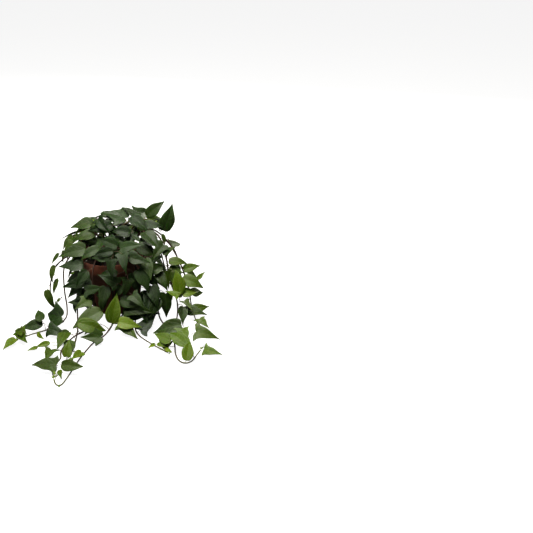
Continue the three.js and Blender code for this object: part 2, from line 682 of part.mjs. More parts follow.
function crosses(item, others) {
  return others.some((other) => {
    return other.reach.intersectsBox(item.reach) && item.solid.intersect(other.solid).volume() > 0;
  });
}

// All the vines. Every stem is laid first, then every leaf is turned until it is clear of the pot,
// the soil, the surface, the stems of the other vines and all leaves placed before it. A leaf that
// finds no room isn't grown.
function vineSolids(fixed) {
  const stems = VINES.map(({ route }) => {
    const points = stemPoints(route, STEM_STEP);
    const radii = points.map((point, i) => {
      return THREE.MathUtils.lerp(STEM_RADIUS, STEM_TIP_RADIUS, i / (points.length - 1));
    });
    return asItem(taperedTube(points, radii, STEM_SIDES));
  });
  const placed = [];
  return VINES.map((vine, v) => {
    const finePoints = alongLine(stemPoints(vine.route, STEM_STEP), FINE_STEP);
    const neighbours = stems.filter((stem) => stem !== stems[v]);
    const rows = vine.leaves ?? ruledLeaves(vine, finePoints, v + 1);
    const light = vine.leaves ? FRONT_LIGHT : BACK_LIGHT;
    let grown = stems[v].solid;
    rows.forEach((row, order) => {
      const kinded = [...row.slice(0, 6), leafKind(row, order)];
      for (let attempt = 0; attempt < TURN_TRIES; attempt += 1) {
        const pose = leafPose(kinded, (v + 1) * 100 + order, attempt, light);
        const petiole = petioleCentres(pose, finePoints);
        const stalk = [pose.base, ...petiole];
        const fatStalk = asItem(evenTube(stalk, PETIOLE_RADIUS + CLEARANCE));
        const lowStalk = asItem(evenTube(petiole, PETIOLE_RADIUS));
        const fatBlade = asItem(leafGeometry(pose, [], BLADE_THICKNESS + 2 * CLEARANCE, 1.02));
        const low = Math.min(fatBlade.reach.min.z, fatStalk.reach.min.z);
        const leaves = placed.map(({ leaf }) => leaf);
        const otherLeaves = placed.filter(({ own }) => own !== v).map(({ leaf }) => leaf);
        const ownBlades = placed.filter(({ own }) => own === v).map(({ blade }) => blade);
        const clear = low > SURFACE_GAP
          && !crosses(fatBlade, [...fixed, ...stems, lowStalk, ...leaves])
          && !crosses(fatStalk, [...fixed, ...neighbours, ...otherLeaves, ...ownBlades]);
        const leaf = asItem(leafGeometry(pose, petiole, BLADE_THICKNESS, 1));
        const joined = grown.add(leaf.solid);
        if (clear && joined.decompose().length === 1) {
          placed.push({ leaf, blade: asItem(leafGeometry(pose, [], BLADE_THICKNESS, 1)), own: v });
          grown = joined;
          return;
        }
      }
    });
    return grown;
  });
}

function plastic(color) {
  return new THREE.MeshStandardMaterial({ color, roughness: 0.55, metalness: 0 });
}

function leafy(color) {
  return new THREE.MeshStandardMaterial({ color, roughness: 0.45, metalness: 0 });
}

function earthy(color) {
  return new THREE.MeshStandardMaterial({ color, roughness: 1, metalness: 0 });
}

function namedMesh(name, solid, material) {
  const mesh = new THREE.Mesh(toGeometry(solid), material);
  mesh.name = name;
  return mesh;
}

const potted = new THREE.Group();
const pot = potSolid();
const soil = soilSolid();
potted.add(namedMesh('pot', pot, plastic(0x6e4030)));
potted.add(namedMesh('soil', soil, earthy(0x2c2018)));
const fixed = [pot, soil].map(withReach);
vineSolids(fixed).forEach((solid, v) => {
  potted.add(namedMesh(VINES[v].name, solid, leafy(v % 2 === 0 ? 0x35521f : 0x446428)));
});

export default potted;
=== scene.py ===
import math

import bmesh
import bpy
from mathutils import Matrix, Vector, noise
from mathutils.kdtree import KDTree


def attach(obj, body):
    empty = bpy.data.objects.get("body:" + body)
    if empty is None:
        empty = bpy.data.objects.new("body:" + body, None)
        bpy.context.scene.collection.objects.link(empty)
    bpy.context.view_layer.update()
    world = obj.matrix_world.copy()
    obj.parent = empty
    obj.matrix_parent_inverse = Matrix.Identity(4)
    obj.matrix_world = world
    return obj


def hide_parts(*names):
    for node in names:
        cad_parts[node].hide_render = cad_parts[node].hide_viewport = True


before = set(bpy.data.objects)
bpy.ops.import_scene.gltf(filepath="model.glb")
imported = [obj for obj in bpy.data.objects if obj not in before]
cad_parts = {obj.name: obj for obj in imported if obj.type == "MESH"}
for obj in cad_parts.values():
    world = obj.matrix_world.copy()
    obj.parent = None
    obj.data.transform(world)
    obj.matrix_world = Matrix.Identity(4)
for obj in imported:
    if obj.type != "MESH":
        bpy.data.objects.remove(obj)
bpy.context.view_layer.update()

# Camera
#
# A long lens that looks down on the plant. Its centre line runs well to the right of the plant.

eye = bpy.data.cameras.new("eye")
eye.lens = 54.75
eye.sensor_width = 36.0
eye_stand = bpy.data.objects.new("eye", eye)
eye_stand.location = (0.2776, -1.3302, 0.6968)
eye_stand.rotation_euler = (math.radians(65), 0, 0)
bpy.context.scene.collection.objects.link(eye_stand)
bpy.context.scene.camera = eye_stand

# Floor and light
#
# White studio paper under the pot, a wide softbox overhead, weaker ones at the left and behind, and
# faint even light all round. Paper and surround are whiter to the camera than to the leaves above.

PAPER_REACH = 6.0
PAPER_GLOW = 0.75
SURROUND_GLOW, SURROUND_LIGHT = 0.8, 0.018
WARM_WHITE = (1.0, 0.98, 0.91)
# The Mix node's colour sockets, by number, because its other sockets have the same names.
FIRST_COLOR, SECOND_COLOR, MIXED_COLOR = 6, 7, 2


def linked(name, data):
    """A new object in the scene that shows the data."""
    thing = bpy.data.objects.new(name, data)
    bpy.context.scene.collection.objects.link(thing)
    return thing


def finished_mesh(name, shape):
    """A mesh made of the shape, which ends with it."""
    mesh = bpy.data.meshes.new(name)
    shape.to_mesh(mesh)
    shape.free()
    return mesh


def principled(name):
    """A new material, its node tree and its Principled BSDF."""
    material = bpy.data.materials.new(name)
    material.use_nodes = True
    tree = material.node_tree
    return material, tree, tree.nodes["Principled BSDF"]


def feed(tree, node, values):
    """Links each value that is a socket to the node's input, and sets the input to any other value."""
    for name, value in values.items():
        socket = node.inputs[name]
        if isinstance(value, bpy.types.NodeSocket):
            tree.links.new(value, socket)
        else:
            socket.default_value = (*value, 1) if socket.type == "RGBA" else value


def fed_node(tree, kind, values, **options):
    """A new node of a kind, with its options and its inputs."""
    node = tree.nodes.new("ShaderNode" + kind)
    for name, option in options.items():
        setattr(node, name, option)
    feed(tree, node, values)
    return node


def calc(tree, operation, *values, clamp=False):
    """A Math node on sockets or plain numbers, and its output."""
    numbered = dict(enumerate(values))
    return fed_node(tree, "Math", numbered, operation=operation, use_clamp=clamp).outputs[0]


def blend_colors(tree, share, first, second):
    """A Mix node from the first colour to the second, by share, and its output."""
    values = {"Factor": share, FIRST_COLOR: first, SECOND_COLOR: second}
    return fed_node(tree, "Mix", values, data_type="RGBA").outputs[MIXED_COLOR]


def seen_directly(tree):
    """1 for what the camera sees at first hand, 0 for light on its way elsewhere."""
    return tree.nodes.new("ShaderNodeLightPath").outputs["Is Camera Ray"]


paper_shape = bmesh.new()
bmesh.ops.create_grid(paper_shape, x_segments=1, y_segments=1, size=PAPER_REACH)
studio_paper = finished_mesh("studio_paper", paper_shape)
paper_white, tree, shader = principled("paper_white")
direct = seen_directly(tree)
feed(tree, shader, {
    "Base Color": blend_colors(tree, direct, (0.1, 0.1, 0.1), (0.5, 0.5, 0.5)),
    "Roughness": 0.9, "Specular IOR Level": 0.1,
    "Emission Color": (1, 1, 1), "Emission Strength": calc(tree, "MULTIPLY", direct, PAPER_GLOW),
})
studio_paper.materials.append(paper_white)
linked("studio_paper", studio_paper)

for name, place, aim, size, power in (
    ("softbox_above", (-0.1, -0.35, 1.6), (0, -0.05, 0.05), 0.9, 26),
    ("softbox_left", (-1.5, -0.9, 0.6), (0, -0.05, 0.08), 0.8, 4.5),
    ("softbox_behind", (0.4, 1.5, 0.75), (0, 0, 0.08), 0.9, 12),
):
    lamp = bpy.data.lights.new(name, "AREA")
    lamp.shape = "SQUARE"
    lamp.size = size
    lamp.energy = power
    lamp.color = WARM_WHITE
    stand = linked(name, lamp)
    stand.location = place
    stand.rotation_euler = (Vector(aim) - Vector(place)).to_track_quat("-Z", "Y").to_euler()

surround = bpy.data.worlds.new("surround")
surround.use_nodes = True
tree = surround.node_tree
glow = calc(tree, "MULTIPLY_ADD", seen_directly(tree), SURROUND_GLOW, SURROUND_LIGHT)
feed(tree, tree.nodes["Background"], {"Color": (1, 1, 1), "Strength": glow})
bpy.context.scene.world = surround
bpy.context.scene.view_settings.view_transform = "Standard"
bpy.context.scene.view_settings.look = "Medium High Contrast"

# Pot
#
# A thin nursery pot of brown plastic, moulded in one piece: a tapered wall, a stepped rim band, a
# foot ring with a rest disc inside it, and drain holes in the floor. Millimetres.

MM = 0.001
POT_RINGS = 96
# Radius and height of the wall's corners, from the rest disc out and up to the rim, and back down
# the inside to the middle of the floor.
POT_PROFILE = (
    (0, 0), (12, 0), (13, 3), (35, 3), (36, 0), (42, 0), (55.8, 84), (58.8, 84), (60, 103),
    (59.4, 105), (58.2, 105), (57.2, 85.6), (54.4, 85.6), (40.6, 4.4), (0, 4.4),
)
SHARP_TURN, EDGE_ROUNDING = 0.45, 0.45
DRAIN_HOLES, DRAIN_CIRCLE, DRAIN_RADIUS = 6, 25, 4
DRILL_SIDES, DRILL_LENGTH, DRILL_MIDDLE = 24, 12, 3
MERGE = 1e-6


def turned(profile, rings):
    """The shape that a line of radii and heights in millimetres makes round the pot's axis."""
    shape = bmesh.new()
    verts = [shape.verts.new((radius * MM, 0, height * MM)) for radius, height in profile]
    edges = [shape.edges.new(pair) for pair in zip(verts, verts[1:])]
    bmesh.ops.spin(
        shape, geom=verts + edges, cent=(0, 0, 0), axis=(0, 0, 1), angle=math.tau,
        steps=rings, use_merge=True,
    )
    bmesh.ops.remove_doubles(shape, verts=shape.verts, dist=MERGE)
    bmesh.ops.recalc_face_normals(shape, faces=shape.faces)
    return shape


def worked_out(thing):
    """The mesh that an object's curve or modifiers make."""
    bpy.context.view_layer.update()
    graph = bpy.context.evaluated_depsgraph_get()
    return bpy.data.meshes.new_from_object(thing.evaluated_get(graph))


def cloudy(tree, vector, scale, detail=3.0, stretch=(1, 1, 1)):
    """Soft noise over a vector, from 0 to 1."""
    place = fed_node(tree, "Mapping", {"Vector": vector, "Scale": stretch}).outputs["Vector"]
    return fed_node(tree, "TexNoise", {"Vector": place, "Scale": scale, "Detail": detail}).outputs["Fac"]


def between(tree, value, low, high):
    """0 where the value is low or less, 1 where it is high or more, smooth between."""
    values = {"Value": value, "From Min": low, "From Max": high}
    return fed_node(tree, "MapRange", values, interpolation_type="SMOOTHSTEP").outputs["Result"]


def bumped(tree, height, distance, strength):
    """The normals of a surface on which a height from 0 to 1 stands up by the distance."""
    values = {"Height": height, "Distance": distance, "Strength": strength}
    return fed_node(tree, "Bump", values).outputs["Normal"]


def object_places(tree):
    """The place of each point on its own piece."""
    return tree.nodes.new("ShaderNodeTexCoord").outputs["Object"]


pot_shape = turned(POT_PROFILE, POT_RINGS)
rims = [edge for edge in pot_shape.edges if edge.is_manifold and edge.calc_face_angle(0) > SHARP_TURN]
bmesh.ops.bevel(
    pot_shape, geom=rims, offset=EDGE_ROUNDING * MM, offset_type="OFFSET", segments=2, profile=0.5,
    affect="EDGES", material=-1,
)
for face in pot_shape.faces:
    face.smooth = True
pot = linked("nursery_pot", finished_mesh("nursery_pot", pot_shape))

drill_shape = bmesh.new()
for hole in range(DRAIN_HOLES):
    turn = hole / DRAIN_HOLES * math.tau
    drill = bmesh.ops.create_cone(
        drill_shape, cap_ends=True, segments=DRILL_SIDES, radius1=DRAIN_RADIUS * MM,
        radius2=DRAIN_RADIUS * MM, depth=DRILL_LENGTH * MM,
    )["verts"]
    spot = Vector((DRAIN_CIRCLE * math.cos(turn), DRAIN_CIRCLE * math.sin(turn), DRILL_MIDDLE)) * MM
    bmesh.ops.translate(drill_shape, verts=drill, vec=spot)
drill_set = linked("drills", finished_mesh("drills", drill_shape))
drilling = pot.modifiers.new("drain_holes", "BOOLEAN")
drilling.operation = "DIFFERENCE"
drilling.object = drill_set
drilled = worked_out(pot)
pot.modifiers.clear()
pot.data = drilled
bpy.data.objects.remove(drill_set)

pot_plastic, tree, shader = principled("pot_plastic")
places = object_places(tree)
dust = calc(
    tree, "MULTIPLY",
    between(tree, cloudy(tree, places, 26, 4), 0.42, 0.72),
    between(tree, cloudy(tree, places, 180, 3), 0.25, 0.8),
)
streaks = between(tree, cloudy(tree, places, 60, 3, (1, 1, 0.12)), 0.52, 0.75)
color = blend_colors(tree, cloudy(tree, places, 9, 2), (0.29, 0.1, 0.06), (0.42, 0.155, 0.095))
color = blend_colors(tree, calc(tree, "MULTIPLY", dust, 0.5), color, (0.46, 0.3, 0.25))
color = blend_colors(tree, calc(tree, "MULTIPLY", streaks, 0.3), color, (0.4, 0.31, 0.27))
grain = calc(
    tree, "ADD",
    cloudy(tree, places, 900, 2),
    calc(tree, "MULTIPLY", cloudy(tree, places, 140, 3, (1, 1, 9)), 1.4),
)
feed(tree, shader, {
    "Base Color": color, "Roughness": calc(tree, "MULTIPLY_ADD", dust, 0.3, 0.42),
    "Normal": bumped(tree, grain, 0.12 * MM, 0.5),
})
drilled.materials.clear()
drilled.materials.append(pot_plastic)
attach(pot, "root")
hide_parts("pot")

# Soil
#
# Moist peat mix that fills the pot to just under its rim, mounded where the plug was set, with
# crumbs, slips of bark and white perlite pressed into its top. Millimetres.

SOIL_RINGS = 72
SOIL_RADIUS, SOIL_EDGE, MOUND_HEIGHT = 53.3, 84.4, 9.6
MOUND_STEPS = 20
PEAT, PERLITE, BARK_SLIP = range(3)
CRUMBS, CRUMB_REACH, CRUMB_SEED = 260, 51, 71
CRUMB_FORMS = {PEAT: (1, 1, 0.7), PERLITE: (1, 1, 0.7), BARK_SLIP: (2.1, 0.8, 0.4)}
WHOLE_WORD = 0xFFFFFFFF
SEED_SPREAD, DRAW_STEP = 2654435761, 0x6D2B79F5


def soil_height(radius):
    """The height of the smooth mound at a distance from the pot's axis."""
    return SOIL_EDGE + MOUND_HEIGHT * math.sin((1 - radius / SOIL_RADIUS) * math.pi / 2)


def crumble(spot):
    """How far the soil's top stands up from the smooth mound at a place."""
    coarse = noise.noise(spot * 110) * 1.3
    fine = noise.noise(spot * 420) * 0.9
    return coarse + fine


def seeded_draw(seed):
    """A repeatable series of draws from 0 to 1 for one seed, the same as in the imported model."""
    state = (seed * SEED_SPREAD) & WHOLE_WORD

    def draw():
        nonlocal state
        state = (state + DRAW_STEP) & WHOLE_WORD
        mixed = ((state ^ (state >> 15)) * (state | 1)) & WHOLE_WORD
        mixed ^= (mixed + (mixed ^ (mixed >> 7)) * (mixed | 61)) & WHOLE_WORD
        return (mixed ^ (mixed >> 14)) / (WHOLE_WORD + 1)

    return draw


soil_line = [(0, 4.8), (20, 4.8), (39.9, 4.8), (46.6, 45), (SOIL_RADIUS, SOIL_EDGE)]
for step in range(1, MOUND_STEPS + 1):
    radius = SOIL_RADIUS * (1 - step / MOUND_STEPS)
    soil_line.append((radius, soil_height(radius)))
soil_shape = turned(soil_line, SOIL_RINGS)
for vert in soil_shape.verts:
    if vert.co.z > (SOIL_EDGE + 0.2) * MM:
        vert.co.z += crumble(vert.co) * MM

draw = seeded_draw(CRUMB_SEED)
for crumb in range(CRUMBS):
    away = CRUMB_REACH * math.sqrt(draw())
    turn = draw() * math.tau
    size = 1.0 + 1.6 * draw()
    kind = PERLITE if draw() < 0.16 else BARK_SLIP if draw() < 0.3 else PEAT
    lump = bmesh.ops.create_icosphere(soil_shape, subdivisions=1, radius=size * MM)["verts"]
    bmesh.ops.scale(soil_shape, verts=lump, vec=CRUMB_FORMS[kind])
    for vert in lump:
        vert.co *= 1 + 0.3 * noise.noise(vert.co * 900 + Vector((crumb, 0, 0)))
    bmesh.ops.rotate(soil_shape, verts=lump, cent=(0, 0, 0), matrix=Matrix.Rotation(turn * 5, 3, "Z"))
    spot = Vector((away * math.cos(turn), away * math.sin(turn), soil_height(away) + 0.2)) * MM
    bmesh.ops.translate(soil_shape, verts=lump, vec=spot)
    for face in {face for vert in lump for face in vert.link_faces}:
        face.material_index = kind
for face in soil_shape.faces:
    face.smooth = True
peat_mix = finished_mesh("peat_mix", soil_shape)



def effect(name, inputs, outputs):
    """A new shader node group with named sockets: its tree, what it is given, and its end node."""
    tree = bpy.data.node_groups.new(name, "ShaderNodeTree")
    for way, sockets in (("INPUT", inputs), ("OUTPUT", outputs)):
        for socket, kind in sockets.items():
            tree.interface.new_socket(socket, in_out=way, socket_type="NodeSocket" + kind)
    given = tree.nodes.new("NodeGroupInput").outputs
    return tree, given, tree.nodes.new("NodeGroupOutput")


crumb_grain, given, result = effect(
    "crumb_grain",
    {"Place": "Vector", "Fineness": "Float", "Dark": "Color", "Pale": "Color"},
    {"Color": "Color", "Height": "Float"},
)
patches = between(crumb_grain, cloudy(crumb_grain, given["Place"], given["Fineness"], 4), 0.3, 0.75)
finer = calc(crumb_grain, "MULTIPLY", given["Fineness"], 1.6)
feed(crumb_grain, result, {
    "Color": blend_colors(crumb_grain, patches, given["Dark"], given["Pale"]),
    "Height": cloudy(crumb_grain, given["Place"], finer, 4),
})

for name, dark, pale, fineness in (
    ("peat", (0.012, 0.008, 0.006), (0.055, 0.034, 0.022), 700),
    ("perlite", (0.42, 0.39, 0.34), (0.72, 0.7, 0.66), 1200),
    ("bark_slip", (0.05, 0.026, 0.014), (0.13, 0.075, 0.042), 500),
):
    material, tree, shader = principled(name)
    values = {"Place": object_places(tree), "Fineness": fineness, "Dark": dark, "Pale": pale}
    grain = fed_node(tree, "Group", values, node_tree=crumb_grain).outputs
    relief = bumped(tree, grain["Height"], 0.6 * MM, 0.8)
    feed(tree, shader, {"Base Color": grain["Color"], "Roughness": 0.92, "Normal": relief})
    peat_mix.materials.append(material)
soil = linked("peat_mix", peat_mix)
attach(soil, "root")
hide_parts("soil")

# Stem bark
#
# Thin woody stems, purple brown at the root and greener to the growing tip, with pinkish grey leaf
# stalks. The share of green is kept on the mesh as the attribute youth_and_painted_shade; on a stalk it
# is its leaf's shade, which is partly painted shade.


def attribute(tree, name):
    """A share from 0 to 1 that the mesh keeps for each point."""
    return fed_node(tree, "Attribute", {}, attribute_name=name).outputs["Fac"]


stem_streaks, given, result = effect(
    "stem_streaks",
    {
        "Place": "Vector", "Fineness": "Float", "Dark": "Color", "Pale": "Color", "Green": "Color",
        "Youth And Painted Shade": "Float", "Unripe": "Float", "Ripe": "Float",
    },
    {"Color": "Color", "Height": "Float"},
)
streak = cloudy(stem_streaks, given["Place"], given["Fineness"], 3)
brown = blend_colors(stem_streaks, streak, given["Dark"], given["Pale"])
greenness = between(stem_streaks, given["Youth And Painted Shade"], given["Unripe"], given["Ripe"])
feed(stem_streaks, result, {
    "Color": blend_colors(stem_streaks, greenness, brown, given["Green"]), "Height": streak,
})


def stem_skin(name, look, roughness, depth, strength):
    """A bark or stalk material: the streaks with the values of its look, and their relief."""
    material, tree, shader = principled(name)
    values = {"Place": object_places(tree), "Youth And Painted Shade": attribute(tree, "youth_and_painted_shade"), **look}
    streaks = fed_node(tree, "Group", values, node_tree=stem_streaks).outputs
    relief = bumped(tree, streaks["Height"], depth * MM, strength)
    feed(tree, shader, {"Base Color": streaks["Color"], "Roughness": roughness, "Normal": relief})
    return material


stem_bark = stem_skin("stem_bark", {
    "Fineness": 420, "Unripe": 0.35, "Ripe": 1.0,
    "Dark": (0.042, 0.02, 0.014), "Pale": (0.12, 0.063, 0.042), "Green": (0.16, 0.17, 0.055),
}, 0.6, 0.25, 0.6)
leaf_stalk = stem_skin("leaf_stalk", {
    "Fineness": 300, "Unripe": 0.2, "Ripe": 0.9,
    "Dark": (0.15, 0.1, 0.075), "Pale": (0.26, 0.2, 0.14), "Green": (0.27, 0.33, 0.1),
}, 0.5, 0.15, 0.5)

# Leaf skin
#
# A waxy upper skin with sunken paler veins, and a dull paler underside with raised veins. The UV map
# runs along the blade in V and across it in U. Young leaves are bright yellow green. The youth that
# colours the flesh and veins is partly painted shade, darker leaf by leaf where less light falls.

MIDRIB_U, NOTCH_V = 0.5, 0.2
LOBE_VEINS, VEIN_BEND = (0.72, 1.5, 2.3), 0.7
RUNG_SLOPE, RUNG_SPACING, RUNGS_FROM = 0.95, 0.065, 0.09
NET_SCALE, NET_LINE = 26, 0.09
FLESH_GLOW = (0.4, 1.0, 0.12)

veins, given, result = effect(
    "ivy_veins", {"Blade": "Vector", "Width": "Float"}, {"Main": "Float", "Fine": "Float"},
)
blade, width = given["Blade"], given["Width"]
split = fed_node(veins, "SeparateXYZ", {"Vector": blade})
wobble = fed_node(veins, "TexNoise", {"Vector": blade, "Scale": 5})
sway = calc(veins, "MULTIPLY_ADD", wobble.outputs["Fac"], 0.05, -0.025)
across = calc(veins, "ABSOLUTE", calc(veins, "SUBTRACT", split.outputs["X"], MIDRIB_U))
along = calc(veins, "ADD", calc(veins, "SUBTRACT", split.outputs["Y"], NOTCH_V), sway)
reach = calc(
    veins, "SQRT",
    calc(veins, "ADD", calc(veins, "MULTIPLY", across, across), calc(veins, "MULTIPLY", along, along)),
)
bearing = calc(veins, "ARCTAN2", across, along)
bearing = calc(veins, "ADD", bearing, calc(veins, "MULTIPLY", reach, VEIN_BEND))


def line_mask(tree, distance, wide):
    """1 on a line, 0 further from it than wide."""
    return calc(tree, "SUBTRACT", 1, calc(tree, "DIVIDE", distance, wide, clamp=True), clamp=True)


thinning = calc(veins, "MULTIPLY_ADD", along, -1.0, 1.5)
main = line_mask(veins, across, calc(veins, "MULTIPLY", width, thinning))
for angle in LOBE_VEINS:
    off = calc(veins, "MULTIPLY", calc(veins, "ABSOLUTE", calc(veins, "SUBTRACT", bearing, angle)), reach)
    main = calc(veins, "MAXIMUM", main, line_mask(veins, off, width))
side = calc(veins, "MULTIPLY_ADD", across, -RUNG_SLOPE, along)
rungs = calc(veins, "PINGPONG", calc(veins, "ADD", side, 1.0), RUNG_SPACING)
rungs = line_mask(veins, rungs, calc(veins, "MULTIPLY", width, 0.8))
rungs = calc(veins, "MULTIPLY", rungs, calc(veins, "GREATER_THAN", side, RUNGS_FROM))
main = calc(veins, "MAXIMUM", main, calc(veins, "MULTIPLY", rungs, 0.75))
net = fed_node(veins, "TexVoronoi", {"Vector": blade, "Scale": NET_SCALE}, feature="DISTANCE_TO_EDGE")
feed(veins, result, {"Main": main, "Fine": line_mask(veins, net.outputs["Distance"], NET_LINE)})


def vein_pattern(tree, width):
    """The veins group on the piece's UV map: its main veins and its fine net."""
    blade = fed_node(tree, "UVMap", {}, uv_map="blade").outputs["UV"]
    group = fed_node(tree, "Group", {"Width": width, "Blade": blade}, node_tree=veins)
    return group.outputs["Main"], group.outputs["Fine"]


# Flesh colour from dark and mature to bright and fresh, by youth that is partly painted shade.
flesh_tint, given, result = effect(
    "flesh_tint",
    {
        "Youth And Painted Shade": "Float", "Tone": "Float", "Mature Dark": "Color", "Mature Pale": "Color",
        "Fresh Dark": "Color", "Fresh Pale": "Color",
    },
    {"Color": "Color"},
)
mature, fresh = (
    blend_colors(flesh_tint, given["Tone"], given[age + " Dark"], given[age + " Pale"])
    for age in ("Mature", "Fresh")
)
feed(flesh_tint, result, {"Color": blend_colors(flesh_tint, given["Youth And Painted Shade"], mature, fresh)})


def leaf_color(tree, youth_and_painted_shade, shades):
    """The plain colour of the flesh, by the leaf's own tone and its youth, which is partly painted shade.
    """
    values = {"Youth And Painted Shade": youth_and_painted_shade, "Tone": attribute(tree, "tone"), **shades}
    return fed_node(tree, "Group", values, node_tree=flesh_tint).outputs["Color"]


def leaf_skin(tree, shader, color, roughness, specular, normal):
    """Finishes a side of the blade: how it shines, and how it lets light through."""
    feed(tree, shader, {
        "Base Color": color, "Roughness": roughness, "Specular IOR Level": specular, "Normal": normal,
        "Subsurface Weight": 0.3, "Subsurface Radius": FLESH_GLOW, "Subsurface Scale": 1.2 * MM,
    })


upper_skin, tree, shader = principled("upper_skin")
main, fine = vein_pattern(tree, 0.011)
youth_and_painted_shade = attribute(tree, "youth_and_painted_shade")
margin = between(tree, attribute(tree, "margin"), 0.7, 1.0)
mottle = cloudy(tree, object_places(tree), 130, 4)
color = leaf_color(tree, youth_and_painted_shade, {
    "Mature Dark": (0.006, 0.022, 0.001), "Mature Pale": (0.039, 0.076, 0.018),
    "Fresh Dark": (0.12, 0.21, 0.003), "Fresh Pale": (0.24, 0.34, 0.01),
})
# Veins, blotches and margins pale by youth, which is partly painted shade.
paler = blend_colors(tree, youth_and_painted_shade, (0.075, 0.13, 0.045), (0.34, 0.46, 0.09))
blotches = between(tree, mottle, 0.45, 0.7)
for mask, strength in ((blotches, 0.28), (margin, 0.24), (fine, 0.12), (main, 0.6)):
    color = blend_colors(tree, calc(tree, "MULTIPLY", mask, strength), color, paler)
sunken = calc(tree, "MULTIPLY_ADD", main, -1.0, calc(tree, "MULTIPLY_ADD", fine, -0.25, 1.0))
sunken = calc(tree, "ADD", sunken, calc(tree, "MULTIPLY", mottle, 0.5))
wax = calc(tree, "MULTIPLY_ADD", mottle, 0.22, 0.3)
leaf_skin(tree, shader, color, wax, 0.46, bumped(tree, sunken, 0.35 * MM, 0.7))

under_skin, tree, shader = principled("under_skin")
main, fine = vein_pattern(tree, 0.014)
color = leaf_color(tree, attribute(tree, "youth_and_painted_shade"), {
    "Mature Dark": (0.02, 0.048, 0.005), "Mature Pale": (0.045, 0.085, 0.012),
    "Fresh Dark": (0.13, 0.24, 0.04), "Fresh Pale": (0.24, 0.37, 0.09),
})
color = blend_colors(tree, calc(tree, "MULTIPLY", fine, 0.2), color, (0.16, 0.22, 0.09))
color = blend_colors(tree, calc(tree, "MULTIPLY", main, 0.6), color, (0.22, 0.29, 0.13))
raised = calc(tree, "MULTIPLY_ADD", fine, 0.25, main)
leaf_skin(tree, shader, color, 0.62, 0.25, bumped(tree, raised, 0.3 * MM, 0.7))

# Blades
#
# The forms of leaf on this plant, each cut once as a flat blank of about length 1: half the blade
# is drawn out from the midrib to its outline, mirrored, and given two faces. An outline runs from the
# notch round the lobe to the tip, each point with its place along the blade and its half width.

OUTLINES = {
    "lance": (
        (0, 0.012), (-0.035, 0.055), (-0.05, 0.12), (-0.005, 0.19), (0.09, 0.24), (0.2, 0.266),
        (0.31, 0.264), (0.43, 0.235), (0.55, 0.184), (0.67, 0.122), (0.79, 0.066), (0.9, 0.026), (1, 0),
    ),
    "oval": (
        (0, 0.012), (-0.02, 0.055), (-0.015, 0.12), (0.045, 0.19), (0.14, 0.243), (0.25, 0.27),
        (0.37, 0.272), (0.49, 0.25), (0.61, 0.203), (0.73, 0.138), (0.84, 0.076), (0.93, 0.03), (1, 0),
    ),
    "narrow": (
        (0, 0.012), (-0.03, 0.05), (-0.01, 0.11), (0.07, 0.17), (0.19, 0.208), (0.33, 0.215),
        (0.48, 0.198), (0.62, 0.165), (0.77, 0.122), (0.92, 0.072), (1.07, 0.032), (1.22, 0),
    ),
    "arrow": (
        (0, 0.012), (-0.06, 0.055), (-0.115, 0.125), (-0.115, 0.215), (-0.065, 0.3), (-0.005, 0.375),
        (0.01, 0.37), (0.045, 0.31), (0.11, 0.255), (0.21, 0.23), (0.32, 0.222), (0.43, 0.205),
        (0.55, 0.158), (0.67, 0.104), (0.79, 0.056), (0.9, 0.024), (1, 0),
    ),
    "star": (
        (0, 0.012), (-0.08, 0.06), (-0.13, 0.15), (-0.09, 0.25), (0.03, 0.34), (0.15, 0.425),
        (0.265, 0.505), (0.278, 0.495), (0.27, 0.425), (0.285, 0.34), (0.35, 0.27), (0.46, 0.215),
        (0.58, 0.155), (0.72, 0.09), (0.86, 0.036), (1, 0),
    ),
    "young": (
        (0, 0.012), (0.0, 0.05), (0.03, 0.1), (0.1, 0.15), (0.22, 0.182), (0.36, 0.188),
        (0.5, 0.162), (0.64, 0.108), (0.8, 0.048), (1, 0),
    ),
}
# The corner of each packed form that a leaf here is matched by: its place along the blade and its
# half width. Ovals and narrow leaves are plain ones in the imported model.
SEEN_CORNER = {"lance": (0.38, 0.25), "arrow": (0.42, 0.21), "star": (0.44, 0.2), "young": (0.5, 0.17)}
# The midrib's points trail those of the outline, as the side veins lean, and keep a step apart.
SPINE_STEP, VEIN_LEAN = 0.018, 0.45
FACING_DOWN = -0.5
UPPER, UNDER, BARK, STALK = range(4)


